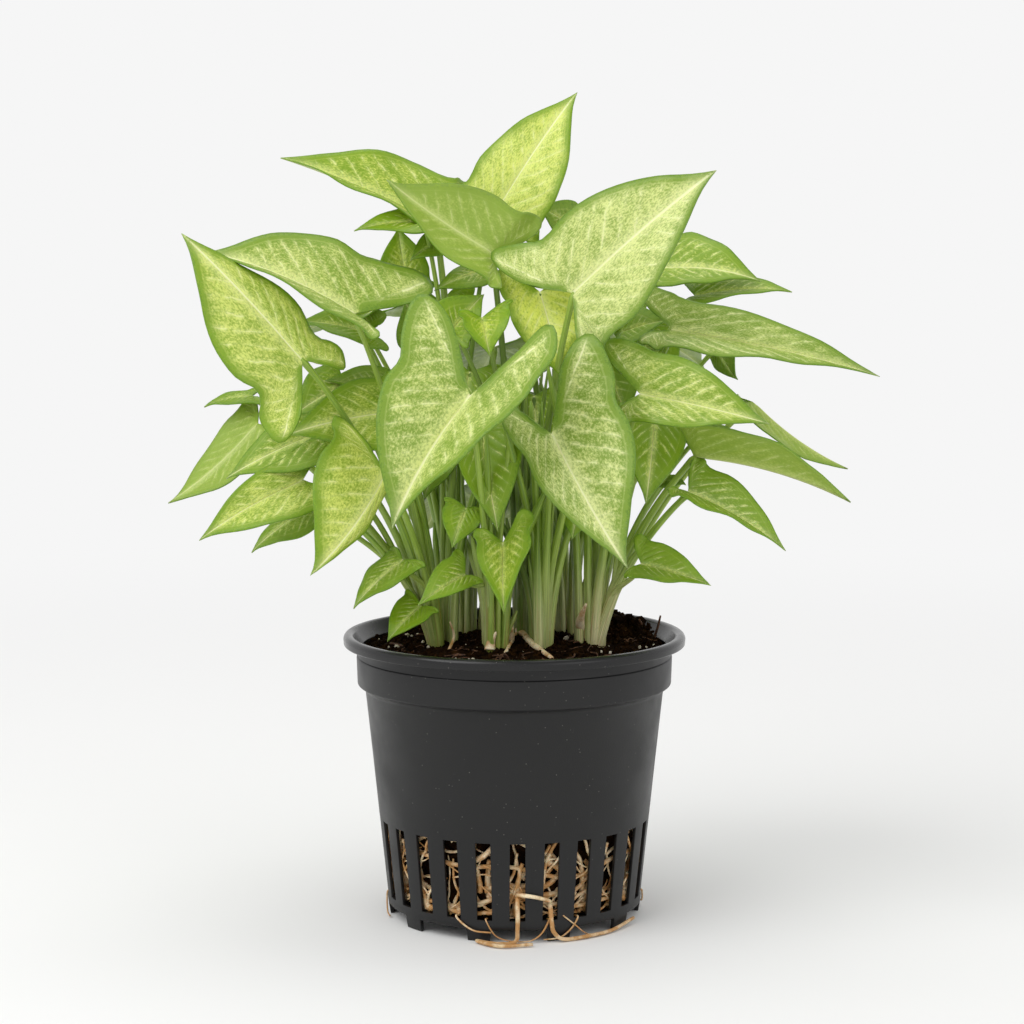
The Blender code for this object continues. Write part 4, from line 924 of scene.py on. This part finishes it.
def outlinePoints(count):
    line = smoothLine([Vector((x, y)) for x, y in leaf["outline"]], 12)
    lengths = [0.0]
    for a, b in zip(line, line[1:]):
        lengths.append(lengths[-1] + (b - a).length)
    points = [line[0]]
    for k in range(1, count + 1):
        want = lengths[-1] * k / (count + 0.35)
        after = next(i for i, length in enumerate(lengths) if length >= want)
        part = (want - lengths[after - 1]) / (lengths[after] - lengths[after - 1])
        points.append(line[after - 1].lerp(line[after], part))
    return points


def rearPoints(blade):
    turn = math.radians(blade["turn"])
    out = ringPoint(1.0, turn)
    side = Vector((-math.sin(turn), math.cos(turn), 0))
    heart = out * blade["radius"] + Vector((0, 0, blade["height"]))
    flat = math.sqrt(blade["length"] ** 2 - blade["drop"] ** 2)
    tip = heart + out * flat - Vector((0, 0, blade["drop"]))
    across, back = (share * blade["length"] for share in leaf["rearLobe"])
    lift = Vector((0, 0, leaf["rearLift"]))
    lobes = [heart + side * across * sign - out * back + lift for sign in (1, -1)]
    return heart, tip, lobes


def bladeFrame(blade):
    # heart, tip, and for each half: sideways vector, lobe reach and fullness
    if "turn" in blade:
        heart, tip, lobes = rearPoints(blade)
    else:
        heart = seen(blade["heart"])
        tip = seen(blade["tip"])
        lobes = [seen(spot) for spot in blade["lobes"]]
    length = (tip - heart).length
    along = (tip - heart) / length
    halves = []
    for lobe, full in zip(lobes, blade.get("full", leaf["full"])):
        reach = -(lobe - heart).dot(along)
        side = (lobe - heart) + along * reach
        reach = max(reach, leaf["leastReach"] * length)
        halves.append((side / leaf["lobeWidth"], reach / leaf["lobeLength"], full))
    normal = halves[1][0].cross(tip - heart)
    toward = Vector((0, 0, 1)) if "turn" in blade else Vector((0, -1, 0.3))
    if (normal.dot(toward) < 0) != blade.get("under", False):
        halves.reverse()
    return heart, tip, halves


def veinSink(x, y):
    # blades are quilted: the surface sinks at each side vein and swells between them
    rise, bend = leaf["veinRise"]
    phase = (y - rise * x - bend * x * x) / leaf["veinStep"]
    outside = leaf["lobeVein"][0] * x + leaf["lobeVein"][1] * y
    fade = min(1.0, max(0.0, outside / 0.1)) if y < 0 else min(1.0, x / 0.1)
    return math.cos(2 * math.pi * (phase - 0.5)) * fade


def bladePoint(shape, half, x, y, share, wave, blade):
    heart, tip, halves = shape
    side, reach, full = halves[half]
    length = (tip - heart).length
    along = (tip - heart) / length
    wide = 1 + (full - 1) * max(0.0, math.cos((y - 0.15) * 1.7))
    wide *= 1 - blade.get("waist", leaf["waist"]) * math.exp(-((y - 0.06) / 0.1) ** 2)
    place = heart + along * (y * length if y > 0 else y * reach) + side * x * wide
    middle = (halves[1][0].normalized() - halves[0][0].normalized()).cross(along).normalized()
    own = (halves[1][0].cross(along) if half else along.cross(halves[0][0])).normalized()
    lift = middle.lerp(own, min(1.0, x / leaf["lobeWidth"])).normalized()
    bend = blade.get("arch", leaf["arch"] * length) * 4 * max(0.0, y) * (1 - y)
    swell = 0.02 * length * math.sin(math.pi * min(1.0, x / 0.42))
    amplitude, phase, count = wave
    ripple = amplitude * share ** 3 * math.sin(count * math.pi * (1 - y) + phase + half * 1.9)
    ripple *= min(1.0, 3 * (1 - y)) * min(1.0, x / 0.2)
    quilt = -leaf["quilt"] * veinSink(x, y) * min(1.0, (1 - share) * 5 + 0.1)
    groove = -0.5 * math.exp(-(x / 0.018) ** 2) * (1 if y > 0 else 0)
    return place + lift * (bend + swell + ripple + quilt + groove)


def surfaceNormals(points, faces):
    spots = np.array([tuple(p) for p in points])
    normals = np.zeros_like(spots)
    for face in faces:
        a, b, c = spots[face[0]], spots[face[1]], spots[face[2]]
        turned = np.cross(b - a, c - a)
        for i in face:
            normals[i] += turned
    size = np.linalg.norm(normals, axis=1, keepdims=True)
    return normals / np.maximum(size, 1e-9)


def addBlade(parts, blade, outline, edges, rng):
    shape = bladeFrame(blade)
    heart, tip, halves = shape
    length = (tip - heart).length
    out = leaf["out"]
    tone = blade.get("tone", 0.5)
    seed = rng.uniform(0, 900)
    wave = (leaf["edgeWave"] * length * rng.uniform(0.6, 1.4), rng.uniform(0, 6.28), rng.uniform(3.0, 5.0))
    points = [heart]
    plane = [(0.0, 0.0)]
    distance = [0.2]
    faces = []
    index = {}
    for half in (0, 1):
        for i in range(len(outline)):
            for k in range(out):
                if i == 0 and half == 1:
                    index[half, i, k] = index[0, 0, k]
                    continue
                share = ((k + 1) / out) ** 0.85
                x = outline[i].x * share
                y = outline[i].y * share
                index[half, i, k] = len(points)
                points.append(bladePoint(shape, half, x, y, share, wave, blade))
                plane.append((x if half else -x, y))
                distance.append(edges[i, k])
        for i in range(len(outline) - 1):
            ring = [index[half, i, 0], index[half, i + 1, 0]]
            flip = -1 if half == 0 else 1
            faces.append(tuple([0, ring[1], ring[0]][::flip]))
            for k in range(out - 1):
                near = [index[half, i, k], index[half, i + 1, k]]
                far = [index[half, i + 1, k + 1], index[half, i, k + 1]]
                faces.append(tuple((near + far)[::flip]))
    normals = surfaceNormals(points, faces)
    thick = leaf["thickness"] / 2
    count = len(points)
    upper = [p + Vector(n) * thick for p, n in zip(points, normals)]
    lower = [p - Vector(n) * thick for p, n in zip(points, normals)]
    # the rim, from the heart round one lobe to the tip and back round the other
    last = len(outline) - 1
    loop = [0]
    loop += [index[1, last, k] for k in range(out)]
    loop += [index[1, i, out - 1] for i in range(last - 1, -1, -1)]
    loop += [index[0, i, out - 1] for i in range(1, last + 1)]
    loop += [index[0, last, k] for k in range(out - 2, -1, -1)]
    walls = []
    for a, b in zip(loop, loop[1:] + loop[:1]):
        walls.append((b, a, a + count, b + count))
    under = [tuple(i + count for i in face[::-1]) for face in faces]
    unit = [(abs(x), y, e * length) for (x, y), e in zip(plane, distance)] * 2
    flat = [(x * length, y * length, seed) for x, y in plane] * 2
    mood = [(tone, blade.get("dense", 0.6), seed)] * (2 * count)
    slots = [0] * len(faces) + [1] * len(under) + [0] * len(walls)
    parts.add(upper + lower, faces + under + walls, slots, bladeUnit=unit, bladeMm=flat, bladeMood=mood)
    return heart, tip


def edgeDistances(outline):
    # how far each point of the blade's grid is from the outline, in blade lengths
    line = smoothLine([Vector((x, y)) for x, y in leaf["outline"]], 6)
    corners = np.array([(p.x, p.y) for p in line])
    starts = corners[:-1]
    spans = corners[1:] - starts
    table = {}
    for i, spot in enumerate(outline):
        for k in range(leaf["out"]):
            share = ((k + 1) / leaf["out"]) ** 0.85
            here = np.array((spot.x * share, spot.y * share))
            part = np.clip(((here - starts) * spans).sum(1) / (spans ** 2).sum(1), 0, 1)
            gaps = here - (starts + spans * part[:, None])
            table[i, k] = float(np.sqrt((gaps ** 2).sum(1).min()))
    return table


def stalkLine(foot, heart, steps):
    rise = heart.z - foot.z
    out = Vector((heart.x - foot.x, heart.y - foot.y, 0))
    first = foot + out * 0.16 + Vector((0, 0, rise * 0.45))
    last = heart - out * 0.3 - Vector((0, 0, max(8.0, rise * 0.16)))
    points = []
    for k in range(steps + 1):
        t = k / steps
        points.append(foot * (1 - t) ** 3 + first * 3 * t * (1 - t) ** 2 + last * 3 * t * t * (1 - t)
                      + heart * t ** 3)
    return points


def shootStalks(name, made, rng):
    # big blades' stalks leave the foot of the shoot, and young ones the sheath of the nearest big one
    x, y, radius = shoots[name]
    ground = soilHeight(x, y)
    stalks = MeshParts("stalkUnit", "stalkTint")
    steps = leaf["stalkSteps"]
    grown = []
    for heart, tip in sorted(made, key=lambda item: (item[1] - item[0]).length, reverse=True):
        length = (tip - heart).length
        big = length > leaf["bigLeaf"] or len(grown) < 2
        away = Vector((heart.x - x, heart.y - y, 0))
        if big:
            spread = radius * 0.52 * min(1.0, away.length / 40)
            foot = Vector((x, y, ground)) + away.normalized() * spread
        else:
            foot = min(grown, key=lambda line: (line[-1] - heart).length)[6]
        line = stalkLine(foot, heart + (tip - heart) * (0.6 / length), steps)
        if big:
            # the sheath makes the foot broad, and thins out by half way up
            width = rng.uniform(0.85, 1.15)
            shares, sizes = leaf["sheathShares"], leaf["sheathRadii"]
            radii = [float(np.interp(k / steps, shares, sizes)) * width for k in range(steps + 1)]
        else:
            low = leaf["youngStalk"]
            high = low * leaf["youngTaper"]
            radii = [low + (high - low) * min(1.0, 1.3 * k / steps) for k in range(steps + 1)]
        # the joint just under the blade is a little thicker
        radii = [r * (1 + 0.22 * math.exp(-((k / steps - 0.96) / 0.04) ** 2)) for k, r in enumerate(radii)]
        radii[-1] *= 0.7
        if big:
            grown.append(line)
            line = [foot - Vector((0, 0, 6.0))] + line
            radii = [radii[0] * 1.08] + radii
        cream = rng.uniform(0.7, 1.1) if x > leaf["creamSide"] else rng.uniform(0.0, 0.6)
        verts, faces, unit = sweep(line, radii, leaf["stalkSides"], rng.random(), 0.22 if big else 0.0)
        stalks.add(verts, faces, stalkUnit=unit, stalkTint=[(vert.z, cream, 0.0) for vert in verts])
    # old leaf sheaths stand round the foot, their blades long gone
    for number in range(leaf["sheaths"]):
        turn = rng.uniform(0, 2 * math.pi)
        lean = ringPoint(1.0, turn)
        foot = Vector((x, y, ground - 6.0)) + lean * radius * rng.uniform(0.2, 0.85)
        tall = rng.uniform(18, 60) if number % 3 == 0 else rng.uniform(60, 118)
        spread = tall * rng.uniform(0.06, 0.3)
        half = foot + lean * spread * 0.2 + Vector((0, 0, tall * 0.5))
        line = smoothLine([foot, half, foot + lean * spread + Vector((0, 0, tall))], 8)
        size = rng.uniform(0.9, 2.0)
        count = len(line)
        radii = [size * (1 - 0.2 * k / count) * min(1.0, 0.3 * (count - k)) for k in range(count)]
        fresh = rng.uniform(0.3, 1.0) if x > leaf["creamSide"] else rng.uniform(0.0, 0.7)
        verts, faces, unit = sweep(line, radii, leaf["stalkSides"], rng.random(), 0.3)
        stalks.add(verts, faces, stalkUnit=unit, stalkTint=[(vert.z, fresh, 0.0) for vert in verts])
    return stalks


def makeShoot(name, outline, edges, upper, under, stalkSkin, rng):
    blades = MeshParts("bladeUnit", "bladeMm", "bladeMood")
    made = [addBlade(blades, blade, outline, edges, rng) for blade in shootBlades(name)]
    stalks = shootStalks(name, made, rng)
    label = name.replace("shoot_", "")
    finishPiece("blades_" + label, blades.build("blades_" + label), [upper, under], [name])
    finishPiece("stalks_" + label, stalks.build("stalks_" + label), [stalkSkin], [name])


def makePlant():
    rng = random.Random(leaf["seed"])
    outline = outlinePoints(leaf["around"])
    edges = edgeDistances(outline)
    upper = leafMaterial("leafUpperWaxy", False)
    under = leafMaterial("leafUnderDull", True)
    stalkSkin = stalkMaterial()
    for name in shoots:
        makeShoot(name, outline, edges, upper, under, stalkSkin, rng)
    print("plant", sum(len(shootBlades(name)) for name in shoots), "blades")
    return stalkSkin


stalkSkin = makePlant()


# Litter on the soil: a thick pale root, dead sheath stubs and twigs
litter = {
    "seed": 9, "fibres": 90, "twigRadius": 0.55, "ridgeMm": 0.8,
    "twigDark": "#2a180d", "twigLight": "#6a4326",
}


def barkMaterial():
    made, tree, shader = newMaterial("deadTwigBark", 0.8)
    ridges = grain(tree, objectPlace(tree), 1 / (litter["ridgeMm"] * mm), 4.0, 0.6)
    worn = remap(tree, ridges, 0.35, 0.65)
    colour = blendColour(tree, worn, hexColour(litter["twigDark"]), hexColour(litter["twigLight"]))
    tree.links.new(colour, shader.inputs["Base Color"])
    addRelief(tree, shader, ridges, 0.5, 0.2)
    return made


def onSoil(u, v, lift):
    # the point of the soil's surface that is seen at a picture point
    depth = 0.0
    for step in range(6):
        spot = seen((u, v, depth))
        depth -= (soilHeight(spot.x, spot.y) + lift - spot.z) * 6.1 * 0.8
    return seen((u, v, depth))


def makeLitter():
    rng = random.Random(litter["seed"])
    pale = MeshParts("rootUnit")
    thick = [onSoil(516, 628, 2.0), onSoil(523, 634, 1.6), onSoil(534, 645, 1.2), onSoil(552, 658, 0.9)]
    stubs = [
        (thick, (1.5, 1.3, 1.2, 0.7)),
        ([onSoil(508, 641, 0.0), onSoil(509, 634, 3.5), onSoil(512, 628, 7.0)], (2.6, 2.0, 0.6)),
        ([onSoil(490, 650, 0.2), onSoil(491, 642, 3.0), onSoil(496, 632, 7.0)], (2.2, 1.6, 0.4)),
        ([onSoil(449, 650, 0.0), onSoil(454, 636, 4.0), onSoil(450, 622, 10.0)], (0.6, 0.5, 0.3)),
        ([onSoil(583, 640, 0.0), onSoil(580, 622, 9.0), onSoil(586, 604, 18.0)], (2.2, 1.7, 0.4)),
        ([onSoil(505, 654, 0.4), onSoil(512, 640, 1.2), onSoil(519, 628, 2.4)], (0.7, 0.6, 0.4)),
    ]
    for points, sizes in stubs:
        line = smoothLine(points, 8)
        radii = np.interp(np.linspace(0, 1, len(line)), np.linspace(0, 1, len(sizes)), sizes)
        verts, faces, unit = sweep(line, list(radii), 12, rng.random() * 0.4)
        pale.add(verts, faces, rootUnit=unit)
    finishPiece("paleRootStubs", pale.build("paleRootStubs"), [rootSkin])
    dark = MeshParts()
    twigs = [
        ((-25, -32, 98), (-22, -44, 106), (-18, -46, 107)), ((0, -36, 98), (-3, -42, 106), (-5, -47, 107)),
        ((52, 12, 98), (55, 10, 108), (56, 8, 113)), ((48, 16, 98), (49, 14, 108), (48, 12, 111)),
        ((-52, 8, 97), (-48, 2, 103), (-42, -8, 104)),
    ]
    for points in twigs:
        line = smoothLine([Vector(point) for point in points], 6)
        radii = [litter["twigRadius"] * (1.1 - 0.5 * k / len(line)) for k in range(len(line))]
        verts, faces, unit = sweep(line, radii, 8)
        dark.add(verts, faces)
    for number in range(litter["fibres"]):
        radius = 52 * math.sqrt(rng.random())
        turn = rng.uniform(0, 2 * math.pi)
        heading = rng.uniform(0, 6.28)
        spot = ringPoint(radius, turn)
        line = []
        for step in range(5):
            if math.hypot(spot.x, spot.y) > 55:
                break
            line.append(Vector((spot.x, spot.y, clodHeight(spot.x, spot.y) + rng.uniform(0.2, 1.1))))
            heading += rng.uniform(-0.5, 0.5)
            spot += Vector((math.cos(heading), math.sin(heading), 0)) * rng.uniform(0.8, 2.2)
        if len(line) > 2:
            line = smoothLine(line, 3)
            size = rng.uniform(0.12, 0.32)
            verts, faces, unit = sweep(line, [size] * len(line), 6)
            dark.add(verts, faces)
    finishPiece("twigsAndFibres", dark.build("twigsAndFibres"), [barkMaterial()])
    print("litter on the soil")


makeLitter()


# Studio: a wide pale sweep that every side sees alike, which far from the plant glows like a lit backdrop
studio = {
    "floorRadius": 2.6, "curveRadius": 1.2, "wallTop": 2.6, "floorColour": "#f0f0ef",
    "farColour": "#f6f6f6",
    "nearEdge": 0.25, "farEdge": 1.1, "worldColour": "#ffffff", "worldStrength": 0.62, "keyPower": 11.5,
    "fillPower": 2.5, "topPower": 4.0,
}


def paperMaterial():
    # matt paper near the plant takes its shadow, and farther off it fades into even light
    paper, tree, shader = newMaterial("seamlessPaperMatt", 0.9, {"Specular IOR Level": 0.1})
    shader.inputs["Base Color"].default_value = hexColour(studio["floorColour"])
    where = objectPlace(tree)
    away = addNode(tree, "VectorMath", {"operation": "LENGTH"}, {0: where}, 1)
    far = remap(tree, away, studio["nearEdge"], studio["farEdge"])
    glow = addNode(tree, "Emission", {}, {"Color": hexColour(studio["farColour"]), "Strength": 1.0})
    mixed = addNode(tree, "MixShader", {}, {0: far, 1: shader.outputs[0], 2: glow})
    tree.links.new(mixed, tree.nodes["Material Output"].inputs["Surface"])
    return paper


def makeStudio():
    points = [(0.0, 0.0), (studio["floorRadius"], 0.0)]
    centre = (studio["floorRadius"], studio["curveRadius"])
    points += arcPoints(centre, studio["curveRadius"], -80, 0, 10)
    points += [(studio["floorRadius"] + studio["curveRadius"], studio["wallTop"])]
    mesh = bpy.data.meshes.new("studioFloor")
    mesh.from_pydata([(x, 0.0, z) for x, z in points], [(i, i + 1) for i in range(len(points) - 1)], [])
    floor = bpy.data.objects.new("studioFloor", mesh)
    bpy.context.scene.collection.objects.link(floor)
    screw = floor.modifiers.new("turn", "SCREW")
    screw.steps = 96
    screw.render_steps = 96
    screw.use_merge_vertices = True
    screw.merge_threshold = 0.00001
    screw.use_smooth_shade = True
    mesh.materials.append(paperMaterial())
    world = bpy.data.worlds.new("studioWorld")
    bpy.context.scene.world = world
    world.use_nodes = True
    sky = world.node_tree.nodes["Background"]
    sky.inputs["Color"].default_value = hexColour(studio["worldColour"])
    sky.inputs["Strength"].default_value = studio["worldStrength"]
    lamps = (
        ("keyLight", (-0.85, -0.75, 1.3), 1.3, studio["keyPower"]),
        ("fillLight", (1.1, -1.2, 0.8), 1.2, studio["fillPower"]),
        ("topLight", (0.1, 0.35, 1.6), 1.1, studio["topPower"]),
    )
    for name, place, size, power in lamps:
        lamp = bpy.data.lights.new(name, "AREA")
        lamp.shape = "DISK"
        lamp.size = size
        lamp.energy = power
        holder = bpy.data.objects.new(name, lamp)
        bpy.context.scene.collection.objects.link(holder)
        holder.location = place
        holder.rotation_euler = (Vector((0, 0, 0.17)) - Vector(place)).to_track_quat("-Z", "Y").to_euler()
    print("studio")


def makeCamera():
    camera = bpy.data.cameras.new("camera")
    camera.sensor_width = 36.0
    camera.lens = view["focal"] / 1024 * camera.sensor_width
    camera.clip_end = 20.0
    holder = bpy.data.objects.new("camera", camera)
    bpy.context.scene.collection.objects.link(holder)
    holder.location = Vector((-view["side"], -view["distance"], view["height"])) * mm
    holder.rotation_euler = (math.pi / 2 - view["pitch"], 0.0, 0.0)
    bpy.context.scene.camera = holder
    bpy.context.scene.view_settings.view_transform = "Standard"
    print("camera")


makeStudio()
makeCamera()
